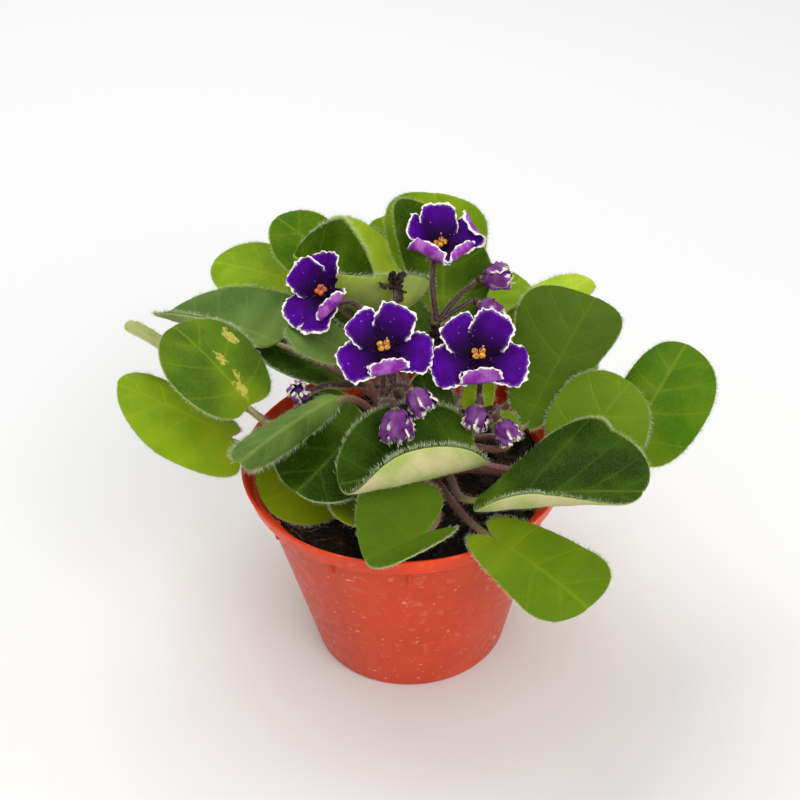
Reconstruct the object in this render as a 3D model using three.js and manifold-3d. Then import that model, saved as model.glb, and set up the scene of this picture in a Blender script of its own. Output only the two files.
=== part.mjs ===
// Potted African violet: a leafy rosette with four open blooms, buds and a peat-filled plastic pot.
// Millimetres, +Z up. The origin is the middle of the pot's foot, on the ground.
// +X is the plant's right-hand side and -Y its front.
import * as THREE from 'three';
import { mergeVertices } from 'three/addons/utils/BufferGeometryUtils.js';
import Module from 'manifold-3d';

const wasm = await Module();
wasm.setup();

// ---------------------------------------------------------------- driving dimensions

const GAP = 0.3;                      // clearance between pieces that touch

const POT = {
  height: 90,
  footRadius: 40,
  rimUndersideZ: 82,                  // where the rim steps out of the body
  bodyTopRadius: 59.2,
  rimLowerRadius: 63,
  rimTopRadius: 65.5,
  wall: 1.3,
  floor: 1.6,
  sides: 42,
  drainCount: 8,
  drainRadius: 3,
  drainRingRadius: 27,
  lugCount: 12,
  lugHeight: 4.5,
  lugWidth: 1.6,
  lugDepth: 1.3,
};

const SOIL = {
  topZ: 80,
  relief: 1.1,                        // height of the crumbs on top
  rings: 5,
  sides: 24,
};

const CROWN = {
  x: 8,
  y: 0,
  rootZ: 66,
  topZ: 105,
  radius: 9,
  sides: 12,
};

const BLADE = {
  thickness: 0.8,
  rows: 7,
  columns: 6,
  fullness: 0.9,                      // below 1 the outline is rounder than an ellipse
  belly: 0.86,                        // below 1 the widest place is nearer the root
};

const PETIOLE = {
  crownRadius: 1.7,
  bladeRadius: 1.3,
  seat: 3,                            // how deep the petiole starts inside the crown
  sides: 5,
  steps: 4,
};

const PETAL = {
  thickness: 0.7,
  rows: 5,
  columns: 4,
  fullness: 0.62,
  belly: 1.2,
};

const BLOOM = {
  tubeDepth: 3.2,                     // how far the petals' short tube reaches back
  tubeRadius: 2.4,
  stalkRadius: 1,
  sepalLength: 6.5,
  sepalWidth: 3,
  witheredRadius: 3,
};

const BUD = {
  sides: 10,
  ridge: 0.1,                         // how far the folded petals' ridges stand out
};

// Each leaf: where its blade starts, where its tip is, and how the blade is turned and bent.
// width in mm; angles in degrees. roll lifts the left half (seen from root to tip); arch bends the
// midrib up in the middle; left and right give each half's slope beside the midrib and how much
// more it has turned up at the margin; lobe is how far the two ears reach back past the root; skew
// leans the left half towards the tip and the right half back; belly above 1 sets the widest place
// nearer the tip; bias above 0 makes the left half the wider one; from is the height at which the
// petiole leaves the crown and swing how far round the crown it starts; lift raises the petiole's
// middle; columns, where given, splits the blade across into that many strips.
const LEAVES = [
  { name: 'leaf_left_low', root: [-68.5, -3, 104], tip: [-112.5, 14, 119.5], width: 41, roll: -3,
    arch: 15, left: [2, -16], right: [-8, -24], lobe: 10.5, skew: -0.44, bias: 0.11, belly: 1.06,
    from: 88.5, swing: 14, lift: 0.5, color: 'light' },
  { name: 'leaf_left_round', root: [-58.8, -8.7, 123.5], tip: [-87, 13.1, 146.2], width: 53.8, roll: 17,
    arch: 17, left: [3, -7], right: [1, -5], lobe: 5, skew: -0.06, bias: -0.03, belly: 1.02, from: 93,
    swing: -14, lift: -8, color: 'spotted' },
  { name: 'leaf_left_pale_tip', root: [-85, 33.5, 113.5], tip: [-112, 43.5, 128.5], width: 30, roll: 54,
    arch: 9, left: [0, 12], right: [-1, 7], lobe: 2, belly: 0.91, from: 84, swing: 20, lift: 2.5,
    columns: 4, color: 'light' },
  { name: 'leaf_left_back_grey', root: [-50, 41.9, 118.4], tip: [-96, 68, 119.9], width: 52.1,
    roll: -12, arch: 13, left: [13, 75], right: [4, -1], lobe: 6, skew: 0.28, bias: 0.08, belly: 0.71,
    from: 100.5, swing: -2, lift: 13.5, columns: 8, color: 'grey' },
  { name: 'leaf_back_left_light', root: [-41.6, 83, 121.1], tip: [-79.7, 93, 127.7], width: 42.6,
    roll: -7, arch: 14, left: [0, -8], right: [0, -9], lobe: 7, from: 103.5, swing: -12, lift: 5.5,
    color: 'light' },
  { name: 'leaf_back_left_bright', root: [-27.7, 76.5, 136.4], tip: [-50.4, 90.1, 150], width: 36.3,
    roll: -1, arch: 10, left: [-2, -10], right: [2, -4], lobe: 5, belly: 0.8, from: 93, swing: 13,
    lift: 7, color: 'bright' },
  { name: 'leaf_back_cup', root: [-9.5, 54.8, 121.5], tip: [-41.4, 51.8, 153.5], width: 66.3, roll: 1,
    arch: -52, left: [27, 92], right: [47, 38], lobe: 5.5, skew: -0.39, bias: 0.16, belly: 0.93,
    from: 98, swing: 1, lift: -4, columns: 8, color: 'mid' },
  { name: 'leaf_back_lit_wall', root: [3.5, 76.8, 109.3], tip: [-28.8, 108.1, 138.7], width: 43.9,
    roll: 5, arch: -9, left: [0, 14], right: [-2, 13], lobe: 4.5, skew: -0.14, bias: 0.18, belly: 0.9,
    from: 91, swing: -7, lift: -4, color: 'lit' },
  { name: 'leaf_back_sliver', root: [10.1, 88.4, 105.6], tip: [-6, 120.4, 131.7], width: 34.2, roll: 0,
    arch: 8, left: [0, 6], right: [0, 6], lobe: 4, from: 85.5, swing: 2, lift: 3, columns: 4,
    color: 'light' },
  { name: 'leaf_top_rear', root: [16.6, 68.3, 129.4], tip: [17.6, 99.5, 153.6], width: 44.9, roll: 3,
    arch: -13, left: [2, 27], right: [1, 25], lobe: 6, skew: 0.11, belly: 1.17, from: 96.5, swing: 5,
    lift: -0.5, color: 'light' },
  { name: 'leaf_top_front', root: [18.5, 44.5, 127.5], tip: [19.5, 74, 157.5], width: 42.5, roll: 1,
    arch: -15, left: [8, 30], right: [1, 26], lobe: 6, skew: 0.56, bias: 0.03, belly: 1.42, from: 102.5,
    lift: -3, color: 'mid' },
  { name: 'leaf_right_back_lit', root: [42.5, 50.5, 110.5], tip: [83, 79, 120], width: 29.5, roll: -2,
    arch: 13, left: [-4, 10], right: [0, 8], lobe: 5, skew: 0.05, bias: 0.06, belly: 0.9, from: 94,
    color: 'lit' },
  { name: 'leaf_back_behind_bud', root: [27, 65.4, 117.4], tip: [54.9, 81.3, 119.4], width: 34, roll: 0,
    arch: 8, left: [0, 8], right: [0, 8], lobe: 5, belly: 1, from: 98.5, swing: -25, lift: 5.5,
    color: 'light' },
  { name: 'leaf_right_tall', root: [50, 3.5, 101], tip: [80.5, 45, 131.5], width: 48, roll: -2,
    arch: 17, left: [-2, 4], right: [2, 5], lobe: 7.5, skew: 0.11, bias: 0.2, belly: 1.75, from: 93.5,
    swing: 21, color: 'dark' },
  { name: 'leaf_right_round', root: [66, -20.5, 102], tip: [88, -4, 123], width: 43.5, roll: 7,
    arch: 21, left: [-2, -6], right: [0, -8], lobe: 5.5, skew: 0.09, bias: 0.03, belly: 0.94,
    from: 93.5, swing: -28, lift: 8.5, color: 'mid' },
  { name: 'leaf_right_far', root: [85, -18.5, 102], tip: [114.5, 23, 121.5], width: 40.5, roll: -4,
    arch: 7, left: [-3, -16], right: [-3, -11], lobe: 7, skew: 0.14, bias: -0.12, belly: 1.08, from: 83,
    lift: 5, color: 'bright' },
  { name: 'leaf_right_front_dark', root: [26, -47.5, 104.5], tip: [85, -58, 113], width: 60.5, roll: -5,
    arch: 9, left: [-13, 51], right: [-22, 114], lobe: -11, skew: 0.37, bias: 0.29, belly: 0.7,
    from: 89, swing: 19, columns: 8, color: 'dark' },
  { name: 'leaf_front_right_low', root: [32.5, -61, 95.5], tip: [62.5, -88, 85.5], width: 33.5,
    roll: 16, arch: 27, left: [-1, 18], right: [1, -9], lobe: 14, skew: 0.2, bias: 0.04, belly: 1.54,
    from: 84, color: 'bright' },
  { name: 'leaf_front_small', root: [6.5, -55, 95.3], tip: [-15.9, -67.5, 94.3], width: 33.4, roll: -22,
    arch: 4, left: [0, 55], right: [3, 10], lobe: 15, skew: 0.19, bias: -0.46, belly: 1.32, from: 89,
    lift: 3, columns: 8, color: 'dark' },
  { name: 'leaf_front_cup', root: [26.6, -26, 107.8], tip: [-24.6, -43.5, 110.3], width: 59.7,
    roll: -21, arch: -6, left: [19, 112], right: [5, 12], lobe: 4.5, skew: 0.1, bias: 0.11, belly: 0.99,
    from: 93.5, swing: -24, lift: 3, columns: 8, color: 'dark' },
  { name: 'leaf_front_left_dark', root: [-14.3, -10.7, 116.1], tip: [-40.5, -42.8, 107.1], width: 44.8,
    roll: -19, arch: -19, left: [-4, 8], right: [-16, 6], lobe: 6.5, skew: 0.15, bias: -0.2,
    belly: 0.88, from: 94.5, swing: 4, lift: 0.5, color: 'dark' },
  { name: 'leaf_front_olive', root: [-2, -20, 83.7], tip: [-15.6, -52.1, 96.3], width: 35.6, roll: 5,
    arch: 13, left: [6, 15], right: [3, 6], lobe: 5, skew: -0.07, bias: -0.16, belly: 0.95, from: 84,
    color: 'olive' },
  { name: 'leaf_front_left_olive', root: [-27.2, -9.4, 85.6], tip: [-55.9, -21.5, 86.1], width: 39.2,
    roll: -20, arch: 15, left: [-1, 8], right: [3, 6], lobe: 5, skew: -0.04, bias: -0.13, belly: 0.99,
    from: 87.5, swing: 26, lift: -1.5, color: 'olive' },
  { name: 'leaf_left_ridged', root: [-24.3, -9.9, 126.4], tip: [-58.9, -51.8, 128.9], width: 29.6,
    roll: -2, arch: 16, left: [-57, -67], right: [-15, -37], lobe: 0.5, skew: 0.14, bias: -0.29,
    belly: 0.98, from: 97, swing: -14, lift: 16, columns: 8, color: 'grey' },
  { name: 'leaf_inner_left_small', root: [-18.6, 10.8, 131], tip: [-43.4, 24.9, 137.1], width: 23.8,
    roll: 2, arch: 10, left: [1, -4], right: [0, -6], lobe: 3, skew: 0.03, belly: 0.92, from: 103.5,
    swing: 12, lift: -2, color: 'grey' },
  { name: 'leaf_inner_left_dark', root: [-18.9, 33.3, 105.9], tip: [-59.8, 48.4, 114.1], width: 42.9,
    roll: -9, arch: -4, left: [6, 37], right: [2, 25], lobe: 4, skew: -0.21, bias: -0.09, belly: 1,
    from: 86.5, swing: 12, lift: 12.5, color: 'dark' },
  { name: 'leaf_inner_front', root: [14, -11, 110], tip: [7, 1, 128], width: 20, roll: 0, arch: -8,
    left: [0, 14], right: [0, 14], lobe: 1, from: 102.5, columns: 4, color: 'dark' },
  { name: 'leaf_inner_right_small', root: [42, -10, 102], tip: [38, -1, 110], width: 11, roll: 0,
    arch: 6, left: [0, 6], right: [0, 6], lobe: 2, from: 98, columns: 4, color: 'bright' },
  { name: 'leaf_inner_back_small', root: [24, 22, 120], tip: [26, 35, 131], width: 20, roll: 0, arch: 6,
    left: [0, 8], right: [0, 8], lobe: 3, from: 102.5, lift: 2.5, columns: 4, color: 'mid' },
  { name: 'leaf_inner_right_pale', root: [28, -3, 112], tip: [33, 8, 124], width: 13, roll: 0, arch: -6,
    left: [0, 14], right: [0, 14], lobe: 2, from: 102.5, columns: 4, color: 'light' },
  { name: 'leaf_low_back_left', root: [-12.1, 61.1, 102], tip: [-38.2, 93.2, 114.1], width: 48.3,
    roll: 0, arch: 16, left: [0, -6], right: [0, -6], lobe: 8, from: 83, swing: 8, color: 'mid' },
  { name: 'leaf_low_back_right', root: [10, 48.2, 105.2], tip: [24.9, 84, 115.2], width: 32.9, roll: 0,
    arch: 16, left: [0, -6], right: [0, -6], lobe: 6, from: 89.5, swing: 21, lift: 8.5, color: 'mid' },
  { name: 'leaf_low_right', root: [50, 30, 98], tip: [80, 52, 99], width: 32, roll: 0, arch: 16,
    left: [0, -6], right: [0, -6], lobe: 6, from: 84, color: 'mid' },
];

// The five petals of a bloom, in its own frame: x to the right, y up, z out of its face. The last
// petal turns up and shows its underside.
const PETALS = [
  { root: [0.4, -0.6, -0.2], tip: [18.2, -6.2, -0.6], width: 17.5, arch: 12,
    left: [0, -10], right: [0, -10] },
  { root: [-0.4, -0.6, -0.2], tip: [-18, -5, -0.6], width: 17.5, arch: 12,
    left: [0, -10], right: [0, -10] },
  { root: [-0.4, 0.8, 0.5], tip: [-9.3, 14, 1.8], width: 16, arch: -8, left: [0, 8], right: [0, 8] },
  { root: [0.4, 0.8, 0.7], tip: [9.8, 14.2, 2.6], width: 16.5, arch: -8, left: [0, 8], right: [0, 8] },
  { root: [0, -1, 0.3], tip: [0.6, -10.5, 4], width: 17, arch: -80, left: [0, 10], right: [0, 10] },
];

// Each bloom: its middle, the way it faces, how far it is turned about that, its size against the
// petals above, how far its petals are closed up into a cup, in degrees, and how far each petal is
// turned about the bloom's own middle.
const BLOOMS = [
  { name: 'bloom_left', centre: [-28.5, 28, 149.5], facing: [-0.5, -0.45, 0.72], turn: 0, size: 0.97, cup: 12,
    turns: [262, 97, -4, 114, 68] },
  { name: 'bloom_middle', centre: [-6, -13, 150], facing: [0, -0.68, 0.73], turn: 8, size: 0.96, cup: 0 },
  { name: 'bloom_right', centre: [29, -9, 142], facing: [0.05, -0.68, 0.73], turn: -1, size: 1.02, cup: 0 },
  { name: 'bloom_top', centre: [17, 45, 158], facing: [0.2, -0.3, 0.92], turn: 10, size: 1, cup: 30 },
];

// Each bud: where its stalk ends, the way it points and its length.
const BUDS = [
  { name: 'bud_front_low', base: [-3, -25, 131], facing: [0.1, -0.5, -0.85], length: 13 },
  { name: 'bud_front_high', base: [3, -15, 132], facing: [0.6, -0.5, -0.6], length: 11 },
  { name: 'bud_right_low', base: [36, -18, 118], facing: [0.5, -0.4, -0.6], length: 10 },
  { name: 'bud_right_high', base: [29, -14, 123], facing: [-0.25, -0.4, -0.8], length: 10 },
  { name: 'bud_back_high', base: [34, 46, 142], facing: [0.8, -0.1, 0.2], length: 12 },
  { name: 'bud_back_low', base: [32, 38, 136], facing: [0.75, -0.3, -0.5], length: 11 },
  { name: 'bud_left', base: [-40, 4, 117], facing: [0, -0.5, 0.8], length: 9 },
];

// Each spray: the stalk from the crown to its fork, and from the fork the stalk of its bloom, those of
// its buds and those of its withered buds, each through the points given.
const SPRAYS = [
  {
    name: 'spray_front',
    trunk: [[6, -2, 101], [0, -3, 112], [-8, -9, 122]],
    bloom: 'bloom_middle',
    bloomPath: [],
    buds: { bud_front_low: [[-6, -19, 130]], bud_front_high: [[-3, -12, 132]] },
    withered: [],
  },
  {
    name: 'spray_right',
    trunk: [[12, -3, 101], [19, -8, 106], [29, -5, 113]],
    bloom: 'bloom_right',
    bloomPath: [[30, -3, 126]],
    buds: { bud_right_low: [[36, -8, 117], [36, -15, 119]], bud_right_high: [[30, -7, 121]] },
    withered: [],
  },
  {
    name: 'spray_top',
    trunk: [[10, 2, 101], [11, 12, 115], [15, 31, 132]],
    bloom: 'bloom_top',
    bloomPath: [[14, 38, 144]],
    buds: { bud_back_high: [[24, 38, 139]], bud_back_low: [[22, 35, 134]] },
    withered: [[[15, 25, 129]]],
  },
  {
    name: 'spray_left',
    trunk: [[5, 1, 101], [1, 6, 108], [-3, 10, 115]],
    bloom: 'bloom_left',
    bloomPath: [[-10, 25, 131], [-18, 32, 142]],
    buds: { bud_left: [[-16, 11, 117], [-32, 12, 116]] },
    withered: [[[-2, 28, 134], [-1, 37, 146]]],
  },
];

const LEAF_COLORS = {
  light: 0x86a544,
  bright: 0x5d9426,
  lit: 0x9fb43c,
  mid: 0x4f7d30,
  grey: 0x5c7f4c,
  dark: 0x2c5220,
  olive: 0x72860f,
  spotted: 0x63922f,
};

const PLASTIC_COLOR = 0xd2513a;
const SOIL_COLOR = 0x14100d;
const STEM_COLOR = 0x5a3b33;
const PETAL_COLOR = 0x3f0d8e;
const BUD_COLOR = 0x7b3f8f;
const ANTHER_COLOR = 0xd9a033;

// ---------------------------------------------------------------- solids from meshes

// Returns a solid made of a closed mesh of indexed points.
function solidFromArrays(points, triangles) {
  return new wasm.Manifold(new wasm.Mesh({
    numProp: 3,
    vertProperties: Float32Array.from(points),
    triVerts: Uint32Array.from(triangles),
  }));
}

// Returns a solid made of a closed three.js geometry.
function solidFromGeometry(geometry) {
  const bare = geometry.clone();
  bare.deleteAttribute('normal');
  bare.deleteAttribute('uv');
  const merged = mergeVertices(bare, 1e-4);
  return solidFromArrays(merged.attributes.position.array, merged.index.array);
}

// Returns the three.js geometry of a solid.
function geometryFromSolid(solid) {
  const mesh = solid.getMesh();
  const geometry = new THREE.BufferGeometry();
  geometry.setAttribute('position', new THREE.BufferAttribute(Float32Array.from(mesh.vertProperties), 3));
  geometry.setIndex(new THREE.BufferAttribute(Uint32Array.from(mesh.triVerts), 1));
  geometry.computeVertexNormals();
  return geometry;
}

const part = new THREE.Group();

// Adds one named piece to the part, without the loose scraps and closed hollows that fusing leaves.
function addPiece(name, fused, color, roughness) {
  const bodies = fused.decompose();
  const solid = bodies.reduce((best, body) => (body.volume() > best.volume() ? body : best));
  const material = new THREE.MeshStandardMaterial({ color, roughness, metalness: 0 });
  const mesh = new THREE.Mesh(geometryFromSolid(solid), material);
  mesh.name = name;
  part.add(mesh);
}

// ---------------------------------------------------------------- shared shapes

const radians = THREE.MathUtils.degToRad;
const UP = new THREE.Vector3(0, 0, 1);

// Returns the frame of a blade: along the midrib, to its left, and out of its upper face.
function bladeFrame(root, tip, roll) {
  const along = tip.clone().sub(root).normalize();
  const left = UP.clone().cross(along).normalize();
  left.applyAxisAngle(along, radians(roll));
  const out = along.clone().cross(left).normalize();
  return { along, left, out };
}

// Returns a function that gives the point of a blade at s (0 root, 1 tip) and t (-1 right margin,
// 1 left margin), on the middle of its thickness. The midrib is an arc. Each half is an arc too,
// square to the midrib, and the rows near the root are swept back into the two ears.
function bladeSurface(shape) {
  const root = new THREE.Vector3(...shape.root);
  const tip = new THREE.Vector3(...shape.tip);
  const { along, left, out } = bladeFrame(root, tip, shape.roll);
  const chord = root.distanceTo(tip);
  const bend = radians(Math.abs(shape.arch) < 1 ? 1 : shape.arch);
  const bendRadius = chord / (2 * Math.sin(bend / 2));

  return (s, t) => {
    const halfWidth = (shape.width / 2) * (1 + shape.bias * Math.sign(t));
    const middle = (1 - Math.cos(Math.PI * s)) / 2;
    const turn = bend * (middle - 0.5);
    const spread = Math.sin(Math.PI * s ** shape.belly) ** shape.fullness * halfWidth * Math.abs(t);
    const margin = 1 + shape.ruffle * Math.cos(shape.ruffleCount * 2 * Math.PI * s) * t * t;
    const [fold, curl] = (t > 0 ? shape.left : shape.right).map(radians);
    const curve = (Math.abs(curl) < 0.01 ? 0.01 : curl) / halfWidth;
    const reach = spread * margin;
    const slope = fold + curve * reach;
    const sideways = Math.sign(t) * (Math.sin(slope) - Math.sin(fold)) / curve;
    const wave = shape.wave * Math.sin(shape.waveCount * 2 * Math.PI * s + (t > 0 ? 0 : 1.9)) * t * t;
    const rise = (Math.cos(fold) - Math.cos(slope)) / curve + wave;
    const ear = shape.lobe * Math.sin(Math.PI * Math.min(1, s / 0.55)) * Math.abs(t) ** 1.5;
    const lean = (shape.skew ?? 0) * spread * Math.sign(t) - ear;
    const forward = bendRadius * Math.sin(turn) + chord / 2 + rise * Math.sin(turn) + lean * Math.cos(turn);
    const height = bendRadius * (Math.cos(turn) - Math.cos(bend / 2)) + rise * Math.cos(turn)
      - lean * Math.sin(turn);
    return root.clone()
      .addScaledVector(along, forward)
      .addScaledVector(left, sideways)
      .addScaledVector(out, height);
  };
}

// Returns a blade as a closed solid: its surface moved half a thickness to either side, with both
// faces split into the same triangles and joined round the margin.
function bladeSolid(shape, thickness, rows, columns) {
  const surface = bladeSurface(shape);
  const points = [];
  const triangles = [];
  const step = 0.004;

  // Puts the two points of one grid place in the list, upper face first.
  const addPair = (s, t) => {
    const here = surface(s, t);
    const inS = THREE.MathUtils.clamp(s, 0.06, 0.94);
    const inT = THREE.MathUtils.clamp(t, -1 + step, 1 - step);
    const alongS = surface(inS + step, inT).sub(surface(inS - step, inT));
    const alongT = surface(inS, inT + step).sub(surface(inS, inT - step));
    const normal = alongS.cross(alongT).normalize().multiplyScalar(thickness / 2);
    points.push(...here.clone().add(normal).toArray());
    points.push(...here.clone().sub(normal).toArray());
    return points.length / 3 - 2;
  };

  const addTriangle = (a, b, c) => {
    triangles.push(a, b, c);
    triangles.push(a + 1, c + 1, b + 1);
  };

  const grid = [];
  for (let row = 1; row < rows; row += 1) {
    const line = [];
    for (let column = 0; column <= columns; column += 1) {
      line.push(addPair(row / rows, -1 + (2 * column) / columns));
    }
    grid.push(line);
  }
  const rootPair = addPair(0, 0);
  const tipPair = addPair(1, 0);

  for (let column = 0; column < columns; column += 1) {
    const first = grid[0];
    const last = grid[grid.length - 1];
    addTriangle(rootPair, first[column], first[column + 1]);
    addTriangle(tipPair, last[column + 1], last[column]);
    for (let row = 0; row + 1 < grid.length; row += 1) {
      const a = grid[row][column];
      const b = grid[row][column + 1];
      const c = grid[row + 1][column + 1];
      const d = grid[row + 1][column];
      addTriangle(a, d, c);
      addTriangle(a, c, b);
    }
  }

  const rim = [rootPair];
  grid.forEach((line) => rim.push(line[0]));
  rim.push(tipPair);
  [...grid].reverse().forEach((line) => rim.push(line[columns]));
  rim.forEach((a, index) => {
    const b = rim[(index + 1) % rim.length];
    triangles.push(a, a + 1, b + 1);
    triangles.push(a, b + 1, b);
  });
  return solidFromArrays(points, triangles);
}

// Returns a closed tube along a curve, whose radius goes evenly from the first to the last value.
function tubeSolid(curve, firstRadius, lastRadius, sides, steps) {
  const frames = curve.computeFrenetFrames(steps, false);
  const points = [];
  const triangles = [];
  for (let step = 0; step <= steps; step += 1) {
    const centre = curve.getPointAt(step / steps);
    const radius = THREE.MathUtils.lerp(firstRadius, lastRadius, step / steps);
    for (let side = 0; side < sides; side += 1) {
      const angle = (2 * Math.PI * side) / sides;
      const point = centre.clone()
        .addScaledVector(frames.normals[step], radius * Math.cos(angle))
        .addScaledVector(frames.binormals[step], radius * Math.sin(angle));
      points.push(...point.toArray());
    }
  }
  for (let step = 0; step < steps; step += 1) {
    for (let side = 0; side < sides; side += 1) {
      const a = step * sides + side;
      const b = step * sides + ((side + 1) % sides);
      triangles.push(a, b, b + sides);
      triangles.push(a, b + sides, a + sides);
    }
  }
  for (let side = 1; side + 1 < sides; side += 1) {
    triangles.push(0, side + 1, side);
    triangles.push(steps * sides, steps * sides + side, steps * sides + side + 1);
  }
  return solidFromArrays(points, triangles);
}

// ---------------------------------------------------------------- pot and soil

// Returns the inner radius of the pot's body at a height.
function innerRadiusAt(z) {
  const share = z / POT.rimUndersideZ;
  return THREE.MathUtils.lerp(POT.footRadius, POT.bodyTopRadius, share) - POT.wall;
}

// The pot: a tapered shell with a rim band, drain holes in its floor and lugs under the rim.
function buildPot() {
  const profile = [
    [0, 0],
    [POT.footRadius, 0],
    [POT.bodyTopRadius, POT.rimUndersideZ],
    [POT.rimLowerRadius, POT.rimUndersideZ],
    [POT.rimTopRadius, POT.height],
    [POT.rimTopRadius - POT.wall, POT.height],
    [POT.rimLowerRadius - POT.wall, POT.rimUndersideZ + POT.wall],
    [innerRadiusAt(POT.rimUndersideZ), POT.rimUndersideZ],
    [innerRadiusAt(POT.floor), POT.floor],
    [0, POT.floor],
  ].map(([radius, z]) => new THREE.Vector2(radius, z));
  const shell = new THREE.LatheGeometry(profile, POT.sides);
  shell.rotateX(Math.PI / 2);
  let solid = solidFromGeometry(shell);

  for (let index = 0; index < POT.drainCount; index += 1) {
    const angle = (2 * Math.PI * index) / POT.drainCount;
    const hole = new THREE.CylinderGeometry(POT.drainRadius, POT.drainRadius, 4 * POT.floor, 8);
    hole.rotateX(Math.PI / 2);
    hole.translate(POT.drainRingRadius * Math.cos(angle), POT.drainRingRadius * Math.sin(angle), 0);
    solid = solid.subtract(solidFromGeometry(hole));
  }

  // stacking lugs: short upright ribs on the body, hanging from the rim's step
  for (let index = 0; index < POT.lugCount; index += 1) {
    const angle = (2 * Math.PI * index) / POT.lugCount;
    const lug = new THREE.BoxGeometry(2 * POT.lugDepth, POT.lugWidth, POT.lugHeight);
    lug.translate(POT.bodyTopRadius, 0, POT.rimUndersideZ - POT.lugHeight / 2 + 0.2);
    lug.rotateZ(angle);
    solid = solid.add(solidFromGeometry(lug));
  }
  addPiece('pot', solid, PLASTIC_COLOR, 0.42);
}

// Returns the peat: a plug that fits the pot, with a crumbly top and a hole for the crown's root.
function buildSoil(crownHole) {
  const points = [];
  const triangles = [];
  const floorZ = POT.floor + GAP;
  const topRadius = innerRadiusAt(SOIL.topZ - SOIL.relief) - 2 * GAP;
  for (let ring = 1; ring <= SOIL.rings; ring += 1) {
    const radius = (topRadius * ring) / SOIL.rings;
    for (let side = 0; side < SOIL.sides; side += 1) {
      const angle = (2 * Math.PI * side) / SOIL.sides;
      const crumbs = Math.sin(5 * angle + 1.7 * ring) + Math.sin(11 * angle - 2.3 * ring)
        + Math.cos(3 * angle + 0.9 * ring);
      const edge = ring === SOIL.rings ? 0.3 : 1;
      const z = SOIL.topZ + SOIL.relief * edge * crumbs / 2;
      points.push(radius * Math.cos(angle), radius * Math.sin(angle), z);
    }
  }
  const footRadius = innerRadiusAt(floorZ) - 2 * GAP;
  for (let side = 0; side < SOIL.sides; side += 1) {
    const angle = (2 * Math.PI * side) / SOIL.sides;
    points.push(footRadius * Math.cos(angle), footRadius * Math.sin(angle), floorZ);
  }
  const top = points.length / 3;
  points.push(0, 0, SOIL.topZ);
  points.push(0, 0, floorZ);
  for (let side = 0; side < SOIL.sides; side += 1) {
    const next = (side + 1) % SOIL.sides;
    triangles.push(top, side, next);
    for (let ring = 0; ring < SOIL.rings; ring += 1) {
      const a = ring * SOIL.sides + side;
      const b = ring * SOIL.sides + next;
      triangles.push(a, a + SOIL.sides, b + SOIL.sides);
      triangles.push(a, b + SOIL.sides, b);
    }
    triangles.push(top + 1, SOIL.rings * SOIL.sides + next, SOIL.rings * SOIL.sides + side);
  }
  const plug = solidFromArrays(points, triangles);
  addPiece('soil', plug.subtract(crownHole), SOIL_COLOR, 0.95);
}

// ---------------------------------------------------------------- crown

// Returns the short stem that carries every leaf and stalk, larger all round by the given margin.
function crownSolid(margin) {
  const r = CROWN.radius + margin;
  const profile = [
    [0, CROWN.rootZ - margin],
    [0.45 * r, CROWN.rootZ - margin],
    [0.9 * r, SOIL.topZ - 6],
    [r, SOIL.topZ + 4],
    [r, CROWN.topZ - 4],
    [0.75 * r, CROWN.topZ - 1 + margin],
    [0, CROWN.topZ + margin],
  ].map(([radius, z]) => new THREE.Vector2(radius, z));
  const stem = new THREE.LatheGeometry(profile, CROWN.sides);
  stem.rotateX(Math.PI / 2);
  stem.translate(CROWN.x, CROWN.y, 0);
  return solidFromGeometry(stem);
}

// ---------------------------------------------------------------- leaves

// One leaf: its blade with the petiole that curves up to it from the crown.
function buildLeaf(leaf, crownSpace) {
  const shape = {
    ...leaf,
    belly: leaf.belly ?? BLADE.belly,
    bias: leaf.bias ?? 0,
    fullness: BLADE.fullness,
    ruffle: 0,
    ruffleCount: 1,
    wave: 0.9,
    waveCount: 1.5,
  };
  const blade = bladeSolid(shape, BLADE.thickness, BLADE.rows, leaf.columns ?? BLADE.columns);

  const root = new THREE.Vector3(...leaf.root);
  const tip = new THREE.Vector3(...leaf.tip);
  const { along, out } = bladeFrame(root, tip, leaf.roll);
  const slope = radians(leaf.arch) / 2;
  const heading = along.clone().multiplyScalar(Math.cos(slope)).addScaledVector(out, Math.sin(slope));
  const axis = new THREE.Vector3(CROWN.x, CROWN.y, leaf.from);
  const radial = root.clone().sub(axis).setZ(0).normalize();
  radial.applyAxisAngle(UP, radians(leaf.swing ?? 0));
  const start = axis.addScaledVector(radial, CROWN.radius - PETIOLE.seat);
  const reach = start.distanceTo(root);
  const first = start.clone()
    .addScaledVector(radial, 0.4 * reach)
    .add(new THREE.Vector3(0, 0, leaf.lift ?? 0));
  const second = root.clone().addScaledVector(heading, -0.3 * reach).add(new THREE.Vector3(0, 0, -1));
  const end = root.clone().addScaledVector(heading, 2.5).addScaledVector(out, -1.15);
  const route = new THREE.CubicBezierCurve3(start, first, second, end);
  const petiole = tubeSolid(route, PETIOLE.crownRadius, PETIOLE.bladeRadius, PETIOLE.sides, PETIOLE.steps);
  addPiece(leaf.name, blade.add(petiole).subtract(crownSpace), LEAF_COLORS[leaf.color], 0.6);
}

// ---------------------------------------------------------------- blooms, buds and stalks

// Returns the matrix that takes a frame facing +Z to a place, a facing and a turn about that facing.
function placing(origin, facing, turn, size) {
  const out = new THREE.Vector3(...facing).normalize();
  const across = UP.clone().cross(out).normalize();
  if (across.length() < 0.5) {
    across.set(1, 0, 0);
  }
  across.applyAxisAngle(out, radians(turn));
  const upward = out.clone().cross(across);
  return new THREE.Matrix4()
    .makeBasis(across, upward, out)
    .setPosition(...origin)
    .scale(new THREE.Vector3(size, size, size));
}

// Returns a closed solid of revolution about +Z.
function turnedSolid(profile, sides) {
  const geometry = new THREE.LatheGeometry(profile.map(([radius, z]) => new THREE.Vector2(radius, z)), sides);
  geometry.rotateX(Math.PI / 2);
  return solidFromGeometry(geometry);
}

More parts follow.
